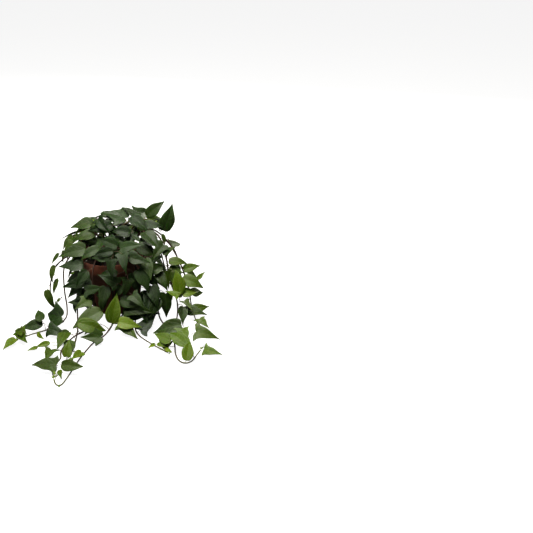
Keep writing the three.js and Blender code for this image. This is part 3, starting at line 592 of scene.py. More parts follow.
def blade_blank(kind):
    """A flat blade in the XY plane with its tip at (0, 1), upper face at Z 0 and lower face at Z -1."""
    outline = OUTLINES[kind]
    blank = bmesh.new()
    margin = blank.verts.layers.float.new("margin")
    spine = [blank.verts.new((0, 0, 0))]
    for order, (place, half) in enumerate(outline[1:], 1):
        spine.append(bmesh.ops.extrude_vert_indiv(blank, verts=spine[-1:])["verts"][0])
        spine[-1].co.y = max(SPINE_STEP * order, place - VEIN_LEAN * half)
    edges = blank.edges[:]
    row = spine
    for share in (0.5, 1.0):
        drawn = bmesh.ops.extrude_edge_only(blank, edges=edges)["geom"]
        fresh = {item for item in drawn if isinstance(item, bmesh.types.BMVert)}
        edges = [
            item for item in drawn
            if isinstance(item, bmesh.types.BMEdge) and fresh.issuperset(item.verts)
        ]
        row = [min(fresh, key=lambda vert: (vert.co - old.co).length) for old in row]
        for vert, root, (place, half) in zip(row, spine, outline):
            vert.co = root.co.lerp(Vector((half, place, 0)), share)
            vert[margin] = share
    whole = blank.verts[:] + blank.edges[:] + blank.faces[:]
    bmesh.ops.mirror(blank, geom=whole, axis="X", merge_dist=MERGE)
    bmesh.ops.remove_doubles(blank, verts=blank.verts, dist=MERGE)
    bmesh.ops.recalc_face_normals(blank, faces=blank.faces)
    if sum(face.normal.z for face in blank.faces) < 0:
        bmesh.ops.reverse_faces(blank, faces=blank.faces)
    bmesh.ops.solidify(blank, geom=blank.faces[:], thickness=1.0)
    top = max(vert.co.z for vert in blank.verts)
    bmesh.ops.translate(blank, verts=blank.verts, vec=(0, 0, -top))
    blank.normal_update()
    blade_map = blank.loops.layers.uv.new("blade")
    for face in blank.faces:
        face.smooth = True
        face.material_index = UNDER if face.normal.z < FACING_DOWN else UPPER
        for loop in face.loops:
            loop[blade_map].uv = (loop.vert.co.x + MIDRIB_U, loop.vert.co.y + NOTCH_V)
    for edge in blank.edges:
        edge.smooth = edge.calc_face_angle(0) < 1
    return finished_mesh("blank_" + kind, blank)


blanks = {kind: blade_blank(kind) for kind in OUTLINES}

# Where the leaves grow
#
# Leaves stand on alternate sides of a stem and turn to the light. Each is tried at the place of its
# row, and then turned further from it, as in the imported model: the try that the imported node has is
# the one that is kept here, and a leaf that the node hasn't is left out. Millimetres.

ROOT_HEIGHT, SOIL_TOP = 86.5, 98.0
STEM_STEP, FINE_STEP = 24.0, 2.0
# Where a leaf's light comes from, and how much it also faces away from the pot.
FRONT_LIGHT = (Vector((0, -0.5, 0.6)), 0.28)
BACK_LIGHT = (Vector((0, 0, 0.62)), 0.5)
LEAF_SPACING = 21.0
FIRST_LEAF_AT = 4.0
LEAF_FIRST_HEIGHT = 112.0
LYING_HEIGHT = 20
HANGING_FALL = 0.6
RIM_RADIUS = 60.0
TURN_TRIES = 30
YOUNG_LENGTH = 28
SAME_PLACE = 0.05


def drawn_from(low, high, draw):
    """A draw between two values."""
    return low + (high - low) * draw()


def stem_line(route, step):
    """Points at about the given step on the smooth curve through a vine's route."""
    root_x, root_y = route[0]
    knots = [Vector((root_x, root_y, ROOT_HEIGHT)), Vector((root_x, root_y, SOIL_TOP))]
    knots += [Vector(place) for place in route[1:]]
    ends = [knots[0] * 2 - knots[1], *knots, knots[-1] * 2 - knots[-2]]
    points = []
    for leg in range(len(knots) - 1):
        before, first, second, after = ends[leg:leg + 4]
        leave, arrive = (second - before) * 0.5, (after - first) * 0.5
        count = max(1, math.ceil((second - first).length / step))
        for i in range(count):
            w = i / count
            points.append(
                first + leave * w + (second * 3 - first * 3 - leave * 2 - arrive) * w ** 2
                + (first * 2 - second * 2 + leave + arrive) * w ** 3
            )
    return points + [knots[-1]]


def along_line(points, step):
    """Points at about the given step along straight legs between points."""
    fine = []
    for first, second in zip(points, points[1:]):
        count = max(1, math.floor((second - first).length / step + 0.5))
        fine += [first.lerp(second, i / count) for i in range(count)]
    return fine + [points[-1]]


def ruled_leaves(vine, fine, seed):
    """The leaves of a vine that has no rows of its own: place, heading, pitch and length."""
    draw = seeded_draw(seed)
    rows = []
    step = vine.get("spacing", LEAF_SPACING) / FINE_STEP
    at = FIRST_LEAF_AT
    while at < len(fine):
        i = math.floor(at)
        point = fine[i]
        ahead = fine[min(i + 2, len(fine) - 1)] - fine[max(i - 2, 0)]
        if point.z >= LEAF_FIRST_HEIGHT or math.hypot(point.x, point.y) >= RIM_RADIUS:
            hand = 1 if len(rows) % 2 == 0 else -1
            lying = point.z < LYING_HEIGHT
            hanging = not lying and ahead.z < -HANGING_FALL * ahead.length
            lead = math.atan2(ahead.y, ahead.x) if lying else math.atan2(point.y, point.x)
            heading = lead + hand * math.radians(vine["spread"] + drawn_from(0, 16, draw))
            pitches = (-6, 2) if lying else (-56, -34) if hanging else (-22, -2)
            pitch = drawn_from(*pitches, draw)
            lift = drawn_from(*((11, 16) if lying else (5, 11)), draw)
            out = 6 if lying else 12
            length = (50 - 20 * (i / len(fine)) ** 2) * drawn_from(0.84, 1.1, draw)
            rows.append((
                point.x + out * math.cos(heading), point.y + out * math.sin(heading), point.z + lift,
                math.degrees(heading), pitch, length,
            ))
        at += step * drawn_from(0.85, 1.15, draw)
    return rows


def leaf_kind(row, order):
    """The form that a leaf's row names, or else the one that goes with its length and its turn."""
    if len(row) > 6:
        return row[6]
    if row[5] < YOUNG_LENGTH:
        return "young"
    return "arrow" if order % 3 == 1 else "lance"


def leaf_pose(row, kind, seed, attempt, light):
    """How a leaf's blade lies at one try: its base, its three directions and its form."""
    x, y, z, heading, pitch, length = row[:6]
    own = seeded_draw(seed)
    lean = Vector([own() - 0.5 for _ in range(3)])
    fold, arch = 0.16 + 0.22 * own(), 0.04 + 0.12 * own()
    turn = seeded_draw(seed * 64 + attempt)
    loose = 1 + attempt / 6 if attempt else 0
    base = Vector([place + 5 * (turn() - 0.5) * loose for place in (x, y, z)])
    compass = math.radians(heading + 16 * (turn() - 0.5) * loose)
    climb = math.radians(pitch + 14 * (turn() - 0.5) * loose)
    along = Vector((
        math.cos(climb) * math.cos(compass), math.cos(climb) * math.sin(compass), math.sin(climb),
    ))
    light_from, outward = light
    facing = lean * 0.3 + light_from + Vector((x, y, 0)).normalized() * outward
    facing = (facing - along * facing.dot(along)).normalized()
    return {
        "kind": kind, "base": base, "along": along, "facing": facing, "across": along.cross(facing),
        "fold": fold, "arch": arch, "length": length * (1 - 0.012 * attempt), "seed": seed,
    }


def blade_place(pose, place, half):
    """A point of the plain folded blade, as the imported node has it."""
    rise = abs(half) * pose["fold"] - place ** 2 * pose["arch"]
    flat = pose["along"] * place + pose["across"] * half
    return pose["base"] + (flat + pose["facing"] * rise) * pose["length"]


def leaves_of(vine, order, corners):
    """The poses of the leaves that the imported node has, each with its stalk's line and its age."""
    fine = along_line(stem_line(vine["route"], STEM_STEP), FINE_STEP)
    light = FRONT_LIGHT if "leaves" in vine else BACK_LIGHT
    rows = vine.get("leaves") or ruled_leaves(vine, fine, order + 1)
    found = []
    for at, row in enumerate(rows):
        kind = leaf_kind(row, at)
        for attempt in range(TURN_TRIES):
            pose = leaf_pose(row, kind, (order + 1) * 100 + at, attempt, light)
            seen = (blade_place(pose, 1, 0), blade_place(pose, *SEEN_CORNER[kind]))
            if all(corners.find(corner * MM)[2] < SAME_PLACE * MM for corner in seen):
                break
        else:
            continue
        nearest = min(range(len(fine)), key=lambda i: (fine[i] - pose["base"]).length)
        start = fine[max(nearest - 3, 7)]
        back = (start - pose["base"]) * 0.42
        back -= pose["along"] * max(0, back.dot(pose["along"]))
        back -= pose["along"] * min(6, 0.3 * (start - pose["base"]).length)
        pose["stalk"] = (pose["base"], pose["base"] + back, start)
        pose["station"] = nearest / len(fine)
        pose["row"] = at
        found.append(pose)
    return found


# Leafy stems
#
# Each vine is one thin woody stem, rooted in the soil, with its leaf stalks and blades grown on it. It
# bends over the rim by its own weight, and the long ones then lie on the surface round the pot.

# A route starts with the root's place in the soil. A leaf's row has the place where the blade meets
# its stalk, its compass heading and pitch in degrees, its length, and its form where that isn't the
# usual one. Its shade, from 0 for dark to 1 for bright, is read off the photo: partly the leaf's age,
# old and dark or young and bright, and partly painted shade and light, low for leaves that lay in
# shadow, set lower on the crown, which the lamp above lights strongly, and higher at the right. Where
# leaves aren't seen, those past fresh_from, a share of the stem, turn young, up to the vine's
# freshness. The key fuller lengthens a vine's leaves against the imported ones, and forms gives leaves
# another blade, by their rows.
VINES = [{
  "name": "vine_left_chain",
  "forms": {4: "narrow", 5: "narrow", 6: "narrow"},
  "shades": [0.2, 0.15, 0.25, 0.2, 0.3, 0.3, 0.35, 0.3, 0.15, 0.2, 0.3],
  "route": [
    [-20, 6], [-21, 6, 125], [-28, 4, 140], [-46, 0, 134], [-70, -5, 107], [-93, -10, 90],
    [-107, -12, 71], [-115, -15, 36], [-111, -20, 12], [-100, -30, 4],
  ],
  "leaves": [
    [-26, -12, 146, -166, -9, 40], [-32, -8, 149, -40, -8, 32], [-66, -5, 137, -167, -41, 32],
    [-92, -12, 108, -166, -48, 26], [-102, -14, 85, -151, -66, 33], [-103, -18, 62, -161, -51, 30],
    [-117, -22, 40, -28, -63, 37], [-95, -26, 37, -150, -62, 18], [-60, 12, 128, 150, -20, 38],
    [-84, 2, 100, 130, -35, 34], [-112, -4, 60, 120, -50, 30],
  ],
}, {
  "name": "vine_left_front", "slot": "young_leaf",
  "shades": [0.5, 0.25, 0.1, 0.15, 0, 0.05, 0.5, 0.45, 0.55, 0.85, 0, 0.1],
  "route": [
    [-27, -8], [-31, -9, 116], [-42, -10, 124], [-56, -17, 122], [-70, -23, 107], [-82, -28, 85],
    [-84, -33, 44], [-81, -40, 18], [-79, -58, 5], [-86, -84, 4], [-100, -102, 4],
    [-114, -112, 4], [-128, -122, 4], [-140, -134, 5],
  ],
  "leaves": [
    [-44, -22, 135, -162, -22, 25, "lance"], [-64, -18, 129, -162, -48, 36],
    [-36, -32, 122, -172, -23, 58], [-38, -30, 114, -160, -32, 34],
    [-76, -101, 28, 146, -12, 52, "star"], [-109, -104, 18, -163, -10, 37],
    [-142, -126, 16, -66, -4, 44, "arrow"], [-139, -140, 18, 150, 6, 32],
    [-147, -140, 9, -104, -4, 34],
    [-114, -124, 9, -51, 0, 24], [-94, -121, 16, -20, -8, 38], [-112, -106, 24, 130, 4, 34],
  ],
}, {
  "name": "vine_left_rim", "fuller": 1.06,
  "shades": [0, 0, 0, 0, 0.05, 0.05, 0.3, 0.75, 0.25, 0.65, 0.5, 0.7, 0.2, 0.75],
  "route": [
    [-22, -20], [-30, -22, 110], [-44, -29, 113], [-56, -37, 105], [-59, -41, 84], [-58, -45, 55],
    [-59, -52, 24], [-57, -68, 5], [-52, -90, 4], [-48, -115, 4], [-45, -144, 4], [-43, -168, 4],
    [-48, -190, 4],
  ],
  "leaves": [
    [-41, -51, 105, -177, -6, 44], [-48, -44, 84, -170, -21, 34],
    [-53, -50, 66, -164, -34, 32, "star"],
    [-38, -61, 58, -170, -23, 34], [-37, -65, 40, 180, -6, 36], [-62, -52, 34, -81, -60, 24],
    [-58, -145, 18, -106, -11, 42], [-104, -166, 7, -133, 2, 20], [-40, -179, 10, 133, 14, 30],
    [-46, -206, 8, 66, 42, 30], [-39, -205, 9, -80, -8, 26], [-22, -192, 9, -119, -3, 30],
    [-62, -128, 9, 175, 2, 30], [-84, -156, 9, -151, 0, 26],
  ],
}, {
  "name": "vine_front_long", "slot": "young_leaf",
  "shades": [0, 0.05, 0.75, 0.2, 0.1, 0.75, 0.5, 0.95, 0.95, 0.05, 0.05],
  "route": [
    [-2, -26], [1, -36, 112], [5, -50, 115], [9, -64, 108], [11, -71, 92], [11, -75, 65],
    [11, -80, 30], [9, -90, 9], [5, -104, 4], [-1, -127, 4], [-13, -147, 4], [-22, -180, 4],
    [-28, -212, 4], [-33, -250, 4], [-38, -278, 5], [-45, -281, 8], [-51, -270, 12],
  ],
  "leaves": [
    [21, -86, 84, 176, 32, 38, "arrow"], [27, -78, 78, -163, -46, 30], [10, -99, 16, 39, 66, 56],
    [-8, -92, 35, -146, -14, 58], [-1, -144, 13, -168, 3, 36, "star"], [25, -116, 26, -3, -12, 42],
    [-16, -104, 18, -120, -6, 34], [-50, -262, 14, 120, 20, 10], [-40, -284, 9, -70, 8, 9],
    [2, -82, 76, -118, -58, 42], [-2, -84, 54, -105, -60, 40],
  ],
}, {
  "name": "vine_front_left",
  "shades": [0, 0, 0, 0.6, 0.3, 0.25, 0.25, 0.6, 0.2, 0, 0.2],
  "route": [
    [-13, -27], [-15, -40, 112], [-18, -54, 113], [-21, -65, 104], [-23, -71, 85], [-23, -74, 55],
    [-24, -76, 26], [-28, -83, 7], [-36, -106, 4], [-47, -136, 10], [-58, -160, 7], [-61, -182, 4.5],
    [-57, -198, 5], [-60, -214, 4], [-60, -240, 4], [-54, -256, 5], [-47, -251, 8],
  ],
  "leaves": [
    [-30, -60, 81, -174, -19, 54, "arrow"], [-34, -72, 62, -17, 1, 42], [-29, -74, 52, -19, -21, 42],
    [-41, -118, 24, -6, -12, 50], [-76, -180, 10, -100, -2, 32], [-52, -240, 14, 168, -4, 46, "arrow"],
    [-48, -236, 13, -23, -6, 38], [-46, -244, 9, -73, -2, 24], [-20, -82, 30, -60, -24, 44],
    [-32, -66, 98, -150, -44, 36], [-22, -84, 40, -140, -30, 44, "star"],
  ],
}, {
  "name": "vine_front_short",
  "shades": [0.05, 0.05, 0.05, 0.05, 0.1, 0.1, 0, 0, 0.05, 0, 0.05],
  "route": [
    [10, -27], [17, -38, 114], [26, -51, 116], [34, -64, 107], [35, -71, 88], [33, -76, 66],
    [35, -80, 44],
  ],
  "leaves": [
    [44, -66, 124, -11, -12, 38], [38, -80, 91, -117, -74, 34, "arrow"], [22, -76, 98, 175, 4, 32],
    [28, -82, 55, -15, -11, 44], [36, -88, 40, -12, -6, 52], [34, -86, 26, -9, -2, 42],
    [47, -64, 94, -55, -64, 40], [52, -74, 30, 8, 4, 44], [22, -50, 124, -150, -26, 38],
    [56, -80, 38, -50, -34, 42], [44, -82, 64, -30, -44, 42],
  ],
}, {
  "name": "vine_front_right", "fuller": 1.12,
  "shades": [0.3, 0, 0, 0, 0.9, 0.85, 0.95, 0, 0.05, 0, 0, 0],
  "route": [
    [19, -20], [30, -33, 113], [42, -45, 114], [50, -55, 102], [52, -61, 78], [50, -67, 50],
    [48, -75, 22], [48, -88, 6], [52, -108, 4], [63, -128, 4], [84, -151, 4], [104, -170, 4],
    [117, -183, 5],
  ],
  "leaves": [
    [28, -111, 16, -34, -10, 42, "arrow"], [56, -119, 8, 33, 24, 46], [60, -68, 60, -27, -62, 38],
    [57, -68, 102, -35, -52, 42], [92, -158, 8, -129, 2, 16], [95, -158, 8, -37, 4, 18],
    [110, -174, 8, -48, 4, 17], [66, -62, 96, -30, -50, 38], [44, -62, 30, -140, -20, 30],
    [36, -42, 122, -50, -24, 40], [66, -70, 56, -105, -50, 42],
    [78, -70, 72, -60, -50, 40],
  ],
}, {
  "name": "vine_right_front", "slot": "young_leaf", "fuller": 1.06,
  "shades": [0.1, 0.1, 0.1, 0.25, 0.1, 0.2, 0.75, 0.9, 0.7, 0.9, 0.9, 0.1, 0.1, 0.05, 0.15, 0.05],
  "route": [
    [25, -9], [38, -18, 116], [56, -27, 119], [69, -38, 107], [75, -48, 88], [80, -57, 62],
    [84, -63, 40], [88, -70, 13], [95, -80, 5], [103, -93, 4], [112, -114, 4], [120, -138, 4],
    [125, -162, 4], [128, -184, 4], [136, -205, 4], [147, -213, 4], [157, -206, 4],
    [163, -188, 4], [169, -171, 5],
  ],
  "leaves": [
    [95, -48, 99, -155, -17, 34], [80, -47, 79, -21, -47, 32], [86, -68, 44, -130, -50, 38],
    [97, -48, 125, 30, 14, 26, "lance"], [101, -64, 54, -84, -74, 44], [132, -118, 22, -176, -12, 52],
    [119, -163, 17, 152, 5, 36], [115, -168, 10, 153, 2, 34], [149, -181, 16, 140, 3, 50],
    [149, -211, 8, 85, 40, 34, "lance"], [172, -172, 9, -27, -3, 34], [66, -50, 114, -60, -34, 40],
    [50, -24, 126, -20, -22, 44], [74, -42, 110, -80, -45, 42], [86, -54, 92, -40, -50, 38],
    [90, -74, 54, -100, -58, 44],
  ],
}, {
  "name": "vine_right_high",
  "shades": [0.05, 0.1, 0.35, 0.45, 0.5, 0.45, 0.9, 0.9, 0.85, 0.1, 0.7, 0.3],
  "route": [
    [27, 3], [34, 3, 122], [50, 1, 137], [74, 0, 146], [89, -5, 133], [97, -15, 110],
    [101, -21, 94], [103, -26, 76], [110, -33, 50], [118, -43, 26], [119, -58, 10], [119, -80, 5],
    [125, -100, 5], [133, -120, 5], [141, -140, 5], [148, -158, 5],
  ],
  "leaves": [
    [64, -18, 151, -43, -26, 50], [99, -42, 137, -140, -34, 36, "arrow"], [103, -12, 92, 4, -6, 34],
    [104, -18, 82, -5, -18, 28], [99, -38, 85, -63, -66, 34], [112, -37, 80, -79, -60, 28, "lance"],
    [124, -54, 48, 96, 70, 44], [119, -66, 62, -162, 6, 36], [108, -68, 54, -72, -62, 18],
    [131, -68, 28, -98, -50, 34, "lance"], [134, -132, 28, -63, -17, 44],
    [157, -150, 30, -4, -20, 46, "arrow"],
  ],
}, {
  "name": "vine_right_side", "slot": "young_leaf",
  "shades": [0.65, 0.65, 0.55, 0.75, 0.4, 0.85, 0.2, 0.4, 0.4, 0.5, 0.2, 0.3, 0.35],
  "route": [
    [26, 14], [38, 18, 124], [68, 19, 142], [94, 14, 127], [113, 8, 98], [127, 0, 66],
    [136, -10, 36], [141, -26, 12], [147, -48, 5], [153, -70, 4], [158, -84, 5],
  ],
  "leaves": [
    [129, -12, 76, 16, 14, 32], [152, -20, 60, 21, 40, 22], [128, -32, 68, -12, -16, 42],
    [126, -50, 44, 24, 8, 34], [128, -58, 34, -48, -30, 30], [122, -44, 40, 64, 10, 22],
    [134, -58, 20, -10, -8, 42], [160, -82, 14, -60, 0, 34], [146, -52, 16, 24, 2, 34],
    [158, -90, 9, -100, 4, 20], [104, 22, 112, 60, -20, 38], [132, 10, 60, 50, -36, 36],
    [140, -12, 30, 40, -20, 34],
  ],
}, {
  "name": "vine_crown_right",
  "forms": {0: "oval", 1: "oval"},
  "shades": [0.1, 0.05, 0.2, 0, 0, 0],
  "route": [[17, 9], [26, 13, 128], [42, 18, 150], [60, 21, 160], [78, 16, 158]],
  "leaves": [
    [64, 25, 164, 0, 37, 42], [92, 12, 142, 21, 62, 52, "lance"], [95, 6, 140, -41, -62, 26],
    [57, 12, 153, -14, -15, 38], [50, 34, 150, 70, -10, 42], [76, 28, 150, 40, -12, 36],
  ],
}, {
  "name": "vine_crown_middle", "fuller": 1.1,
  "shades": [0, 0.05, 0, 0, 0, 0, 0, 0, 0, 0, 0],
  "route": [[4, 2], [8, 4, 128], [18, 6, 150], [32, 8, 160], [44, 10, 164]],
  "leaves": [
    [27, 22, 160, 170, 8, 46, "star"], [44, 25, 163, 146, 22, 32], [38, 8, 170, -31, -32, 44],
    [38, -14, 148, 176, 12, 36, "lance"], [46, 0, 149, -160, -10, 30], [14, -6, 140, -70, -24, 36],
    [30, -2, 152, -86, -34, 38], [30, -8, 132, -40, -28, 44], [10, 12, 132, 150, -12, 42],
    [8, -4, 156, -150, -10, 42], [14, 16, 150, 110, -6, 40],
  ],
}, {
  "name": "vine_crown_left", "fuller": 1.1,
  "shades": [0.2, 0, 0.15, 0, 0, 0.05, 0.15, 0, 0.05, 0, 0.05],
  "route": [[-9, 4], [-12, 4, 128], [-16, 3, 150], [-26, 1, 162]],
  "leaves": [
    [-29, 18, 152, -162, -18, 42], [-19, -2, 170, -45, -31, 38, "arrow"], [-34, 8, 158, 178, -8, 38],
    [-6, 10, 160, 50, -4, 38], [-14, -10, 138, -110, -26, 36],
    [-30, -2, 126, -172, -26, 46], [-22, 12, 134, 160, -22, 44], [-24, -16, 124, -144, -34, 42],
    [-34, 14, 116, 150, -30, 40], [-6, 26, 156, 30, -10, 40], [-38, 12, 138, 170, -20, 40],
  ],
}, {
  "name": "vine_crown_front",
  "shades": [0, 0, 0, 0, 0, 0, 0, 0, 0.05],
  "route": [[1, -13], [4, -18, 124], [6, -30, 138], [10, -46, 139], [14, -60, 131], [16, -68, 118]],
  "leaves": [
    [22, -58, 142, 167, 21, 38], [27, -60, 143, 3, 11, 46, "arrow"], [18, -60, 139, -165, -7, 34],
    [7, -36, 153, -62, -25, 26, "lance"], [58, -40, 144, 151, 30, 22], [2, -72, 127, 180, -5, 34],
    [15, -82, 128, -94, -62, 36, "arrow"], [31, -77, 134, -70, -57, 36],
    [-12, -44, 132, -150, -14, 38],
  ],
}, {
  "name": "vine_back_left", "fresh_from": 0.5, "freshness": 0.6, "spread": 28,
  "route": [
    [-19, 18], [-32, 26, 118], [-46, 36, 122], [-58, 44, 108], [-66, 49, 80], [-70, 53, 45],
    [-72, 61, 14], [-78, 77, 4.5], [-83, 90, 4.5],
  ],
}, {
  "name": "vine_back_centre_left", "fresh_from": 0.5, "freshness": 0.6, "spread": 46,
  "route": [
    [-9, 24], [-16, 38, 120], [-26, 54, 125], [-34, 68, 106], [-37, 76, 70], [-38, 82, 36],
    [-40, 92, 9], [-46, 112, 4.5], [-44, 134, 4.5],
  ],
}, {
  "name": "vine_back_centre", "fresh_from": 0.5, "freshness": 0.7, "spread": 46,
  "route": [
    [3, 25], [3, 40, 122], [4, 56, 125], [5, 70, 108], [4, 78, 72], [2, 84, 36], [2, 96, 8],
    [8, 118, 4.5], [6, 142, 4.5],
  ],
}, {
  "name": "vine_back_centre_right", "fresh_from": 0.5, "freshness": 0.6, "spread": 44,
  "route": [
    [15, 24], [24, 38, 122], [36, 52, 127], [46, 63, 110], [50, 70, 72], [52, 76, 36],
    [56, 86, 9], [66, 102, 4.5], [72, 122, 5],
  ],
}, {
  "name": "vine_back_right", "fresh_from": 0.5, "freshness": 0.6, "spread": 42,
  "route": [
    [28, 26], [42, 34, 124], [60, 42, 127], [75, 48, 106], [83, 50, 70], [89, 52, 36],
    [97, 56, 10], [111, 64, 4.5], [127, 70, 5],
  ],
}, {
  "name": "vine_crown_back_left", "fuller": 1.16, "fresh_from": 0.6, "freshness": 0.15,
  "route": [[-1, 13], [-3, 20, 126], [-9, 30, 146], [-20, 40, 154], [-34, 46, 150]],
  "leaves": [
    [-10, 34, 158, 120, 0, 40], [-18, 56, 142, 84, -46, 38], [-36, 48, 152, 104, -22, 42],
    [-4, 36, 142, 62, -18, 40], [-20, 28, 138, 172, -16, 46], [-32, 36, 146, -168, -34, 42],
  ],
}, {
  "name": "vine_crown_back_right", "fuller": 1.16, "fresh_from": 0.6, "freshness": 0.15,
  "route": [[9, 15], [14, 24, 128], [24, 32, 148], [40, 38, 156], [56, 42, 150]],
  "leaves": [
    [26, 38, 160, 98, -4, 42], [44, 46, 160, 62, -12, 42], [60, 44, 152, 28, -24, 44],
    [18, 38, 142, 132, -18, 40], [38, 28, 144, -8, -16, 42], [18, 30, 126, 66, -30, 42],
    [50, 52, 142, 92, -46, 38],
  ],
}, {
  "name": "vine_side_left", "fresh_from": 0.6, "freshness": 0.2,
  "spread": 34, "spacing": 14,
  "route": [[-29, 13], [-36, 16, 117], [-50, 19, 120], [-62, 22, 108], [-66, 24, 82], [-64, 25, 54]],
}, {
  "name": "vine_side_right", "fuller": 1.12, "fresh_from": 0.6, "freshness": 0.2,
  "spread": 34, "spacing": 14,
  "route": [[34, -4], [40, -5, 116], [53, -3, 118], [63, 0, 106], [67, 3, 82], [65, 5, 50]],
}]

STEM_FINE_STEP = 6.0
STEM_RADIUS, STEM_THINNING, STEM_END = 1.65, 0.55, 0.35
STEM_SIDES, STALK_SIDES = 8, 6
JOINT_SWELL = 1.25
# A stalk's radii, from the blade's notch to the stem.
STALK_RADII = (0.55, 0.48, 0.46, 0.5, 0.6, 0.8)
BLADE_THICKNESS = 0.42
BLADE_SINK, BLADE_FLOOR = 0.16, 0.7
OVAL_SHARE = 0.33
SHAPE_SEED, OVAL_SEED, SHADE_SEED = 5000, 7000, 9000
MESH_SHARES = ("youth_and_painted_shade", "tone", "margin")


def stalk_line(pose, stem):
    """A leaf stalk's curve from the notch to the smooth stem, in millimetres."""
    notch, bend, start = pose["stalk"]
    notch = notch + pose["along"] * 0.6 - pose["facing"] * 0.35
    seat = min(stem, key=lambda point: (point - start).length)
    middle = (notch + seat) / 2
    pull = bend + (bend - middle) * 0.5
    shares = [i / (len(STALK_RADII) - 1) for i in range(len(STALK_RADII))]
    return [notch * (1 - s) ** 2 + pull * 2 * s * (1 - s) + seat * s ** 2 for s in shares]


def round_lines(name, lines, sides):
    """Round tubes along lines of points, each with its radius and its youth and painted shade, as one
    mesh.
    """
    wire = bpy.data.curves.new(name, "CURVE")
    wire.dimensions = "3D"
    wire.bevel_depth = MM
    wire.bevel_resolution = (sides - 4) // 2
    for points, radii, _ in lines:
        spline = wire.splines.new("POLY")
        spline.points.add(len(points) - 1)
        for knot, point, radius in zip(spline.points, points, radii):
            knot.co = (*(point * MM), 1)
            knot.radius = radius
    holder = linked(name, wire)
    skin = worked_out(holder)
    bpy.data.objects.remove(holder)
    ages = [age for _, _, youths in lines for age in youths for _ in range(sides)]
    skin.attributes.new("youth_and_painted_shade", "FLOAT", "POINT").data.foreach_set("value", ages)
    closed = bmesh.new()
    closed.from_mesh(skin)
    bmesh.ops.holes_fill(closed, edges=[edge for edge in closed.edges if edge.is_boundary], sides=sides)
    closed.to_mesh(skin)
    closed.free()
    return skin


def add_mesh(body, mesh, material_index=None):
    """Adds a mesh to a bmesh and gives the vertices that came."""
    verts, faces = len(body.verts), len(body.faces)
    body.from_mesh(mesh)
    body.verts.ensure_lookup_table()
    body.faces.ensure_lookup_table()
    if material_index is not None:
        for face in body.faces[faces:]:
            face.material_index = material_index
            face.smooth = True
    return body.verts[verts:]


def add_leaf(body, pose):
    """Folds, arches and ripples a blank into its place on the vine."""
    draw = seeded_draw(pose["seed"] + SHAPE_SEED)
    phase, wave, droop, curl, taper, roll, tone, twist, notch, girth = (draw() for _ in range(10))
    length = pose["length"]
    droop *= min(1, pose["base"].z / 40)
    youth_and_painted_shade_layer, tone_layer, margin_layer = (body.verts.layers.float[name] for name in MESH_SHARES)
    for vert in add_mesh(body, blanks[pose["kind"]]):
        half, place, layer = vert.co
        share = vert[margin_layer]
        # The depth of the notch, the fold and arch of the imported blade, and a face that swells
        # between the sunken midrib and the margin.
        if place < 0:
            place *= 0.25 + notch
        rise = abs(half) * pose["fold"] - place ** 2 * pose["arch"]
        rise += 0.014 * math.sin(share * math.pi) - 0.006 * (1 - share)
        # Sides that roll down, and a rippled margin.
        rise -= 0.7 * roll * half ** 2
        ripple = math.sin(7.5 * place + math.tau * phase + (1.3 if half > 0 else 0))
        rise += (0.006 + 0.018 * wave) * ripple * share ** 2
        # A raised back, a tip that droops, and a twist along the blade.
        rise += 0.16 * (0.3 + droop) * place * (1 - place)
        rise -= (0.08 + 0.6 * droop) * max(0, place - 0.55) ** 2
        rise += 0.9 * (twist - 0.5) * half * place
        # A width of its own, an uneven outline, and a tip bent to one side.
        half *= 1 + 0.6 * (taper - 0.4) * (0.3 - place)
        half *= 0.94 + 0.14 * girth
        half *= 1 + 0.05 * math.sin(12 * place + math.tau * wave + (1.7 if half > 0 else 0))
        sideways = half + 0.22 * (curl - 0.5) * place ** 3
        spot = pose["base"] + (pose["along"] * place + pose["across"] * sideways) * length
        spot += pose["facing"] * (rise * length - BLADE_SINK + layer * BLADE_THICKNESS)
        spot.z = max(spot.z, BLADE_FLOOR + 0.4 * layer)
        vert.co = spot * MM
        vert[youth_and_painted_shade_layer] = pose["youth_and_painted_shade"]
        vert[tone_layer] = tone


def leaf_youth_and_painted_shade(vine, pose):
    """How young and bright a leaf is: its own shade where the photo shows it, which is partly
    painted shade, or else by its station.
    """
    if "shades" in vine:
        return vine["shades"][pose["row"]]
    draw = seeded_draw(pose["seed"] + SHADE_SEED)
    ripeness = (pose["station"] - vine["fresh_from"]) / (1 - vine["fresh_from"])
    youth_and_painted_shade = vine["freshness"] * min(1, max(0, ripeness) ** 0.7)
    return min(1, max(0, youth_and_painted_shade + 0.3 * (draw() - 0.6)))


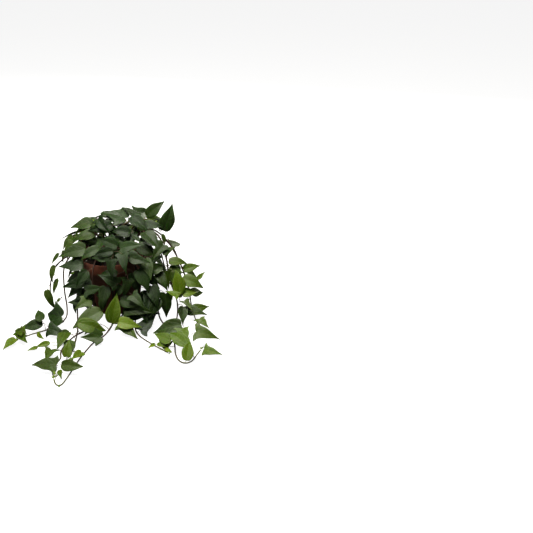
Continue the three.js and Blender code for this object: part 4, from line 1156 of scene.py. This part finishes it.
def tip_leaves(stem, seed):
    """The poses of two unopened leaves at a growing tip."""
    ahead = (stem[-1] - stem[-4]).normalized()
    side = ahead.cross(Vector((0, 0, 1))).normalized()
    light = Vector((0, -0.3, 1))
    found = []
    for hand, length in ((1, 8.0), (-1, 5.5)):
        along = (ahead + side * 0.55 * hand + Vector((0, 0, 0.45))).normalized()
        facing = light - along * light.dot(along)
        facing.normalize()
        found.append({
            "kind": "young", "base": stem[-1] + along * 0.4, "along": along, "facing": facing,
            "across": along.cross(facing), "fold": 0.75, "arch": 0.1, "length": length,
            "seed": seed + (hand + 1), "youth_and_painted_shade": 1.0,
        })
    return found


def finer_form(vine, pose):
    """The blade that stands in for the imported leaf's own: some plain ones are ovals."""
    oval = pose["kind"] == "lance" and seeded_draw(pose["seed"] + OVAL_SEED)() < OVAL_SHARE
    return vine.get("forms", {}).get(pose["row"], "oval" if oval else pose["kind"])


for order, vine in enumerate(VINES):
    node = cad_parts[vine["name"]]
    corners = KDTree(len(node.data.vertices))
    for i, vert in enumerate(node.data.vertices):
        corners.insert(vert.co, i)
    corners.balance()
    leaves = leaves_of(vine, order, corners)
    stem = stem_line(vine["route"], STEM_FINE_STEP)
    shares = [i / (len(stem) - 1) for i in range(len(stem))]
    radii = [STEM_RADIUS - STEM_THINNING * share for share in shares]
    radii[-1] = STEM_END
    lines = []
    for pose in leaves:
        # A leaf's youth, which is partly painted shade where its shade is listed.
        pose["youth_and_painted_shade"] = leaf_youth_and_painted_shade(vine, pose)
        pose["length"] *= vine.get("fuller", 1)
        pose["kind"] = finer_form(vine, pose)
        line = stalk_line(pose, stem)
        seat = min(range(len(stem)), key=lambda i: (stem[i] - line[-1]).length)
        radii[seat] = (STEM_RADIUS - STEM_THINNING * shares[seat]) * JOINT_SWELL
        lines.append((line, STALK_RADII, [pose["youth_and_painted_shade"]] * len(line)))
    body = bmesh.new()
    for name in MESH_SHARES:
        body.verts.layers.float.new(name)
    ages = [share ** 2 for share in shares]
    add_mesh(body, round_lines("stem", [(stem, radii, ages)], STEM_SIDES), BARK)
    add_mesh(body, round_lines("stalks", lines, STALK_SIDES), STALK)
    for pose in leaves + tip_leaves(stem, 100 * order):
        add_leaf(body, pose)
    grown = finished_mesh(vine["name"].replace("vine", "ivy"), body)
    for material in (upper_skin, under_skin, stem_bark, leaf_stalk):
        grown.materials.append(material)
    piece = linked(grown.name, grown)
    rounding = piece.modifiers.new("rounding", "SUBSURF")
    rounding.levels = rounding.render_levels = 1
    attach(piece, "root")
    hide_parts(vine["name"])

for blank in blanks.values():
    bpy.data.meshes.remove(blank)
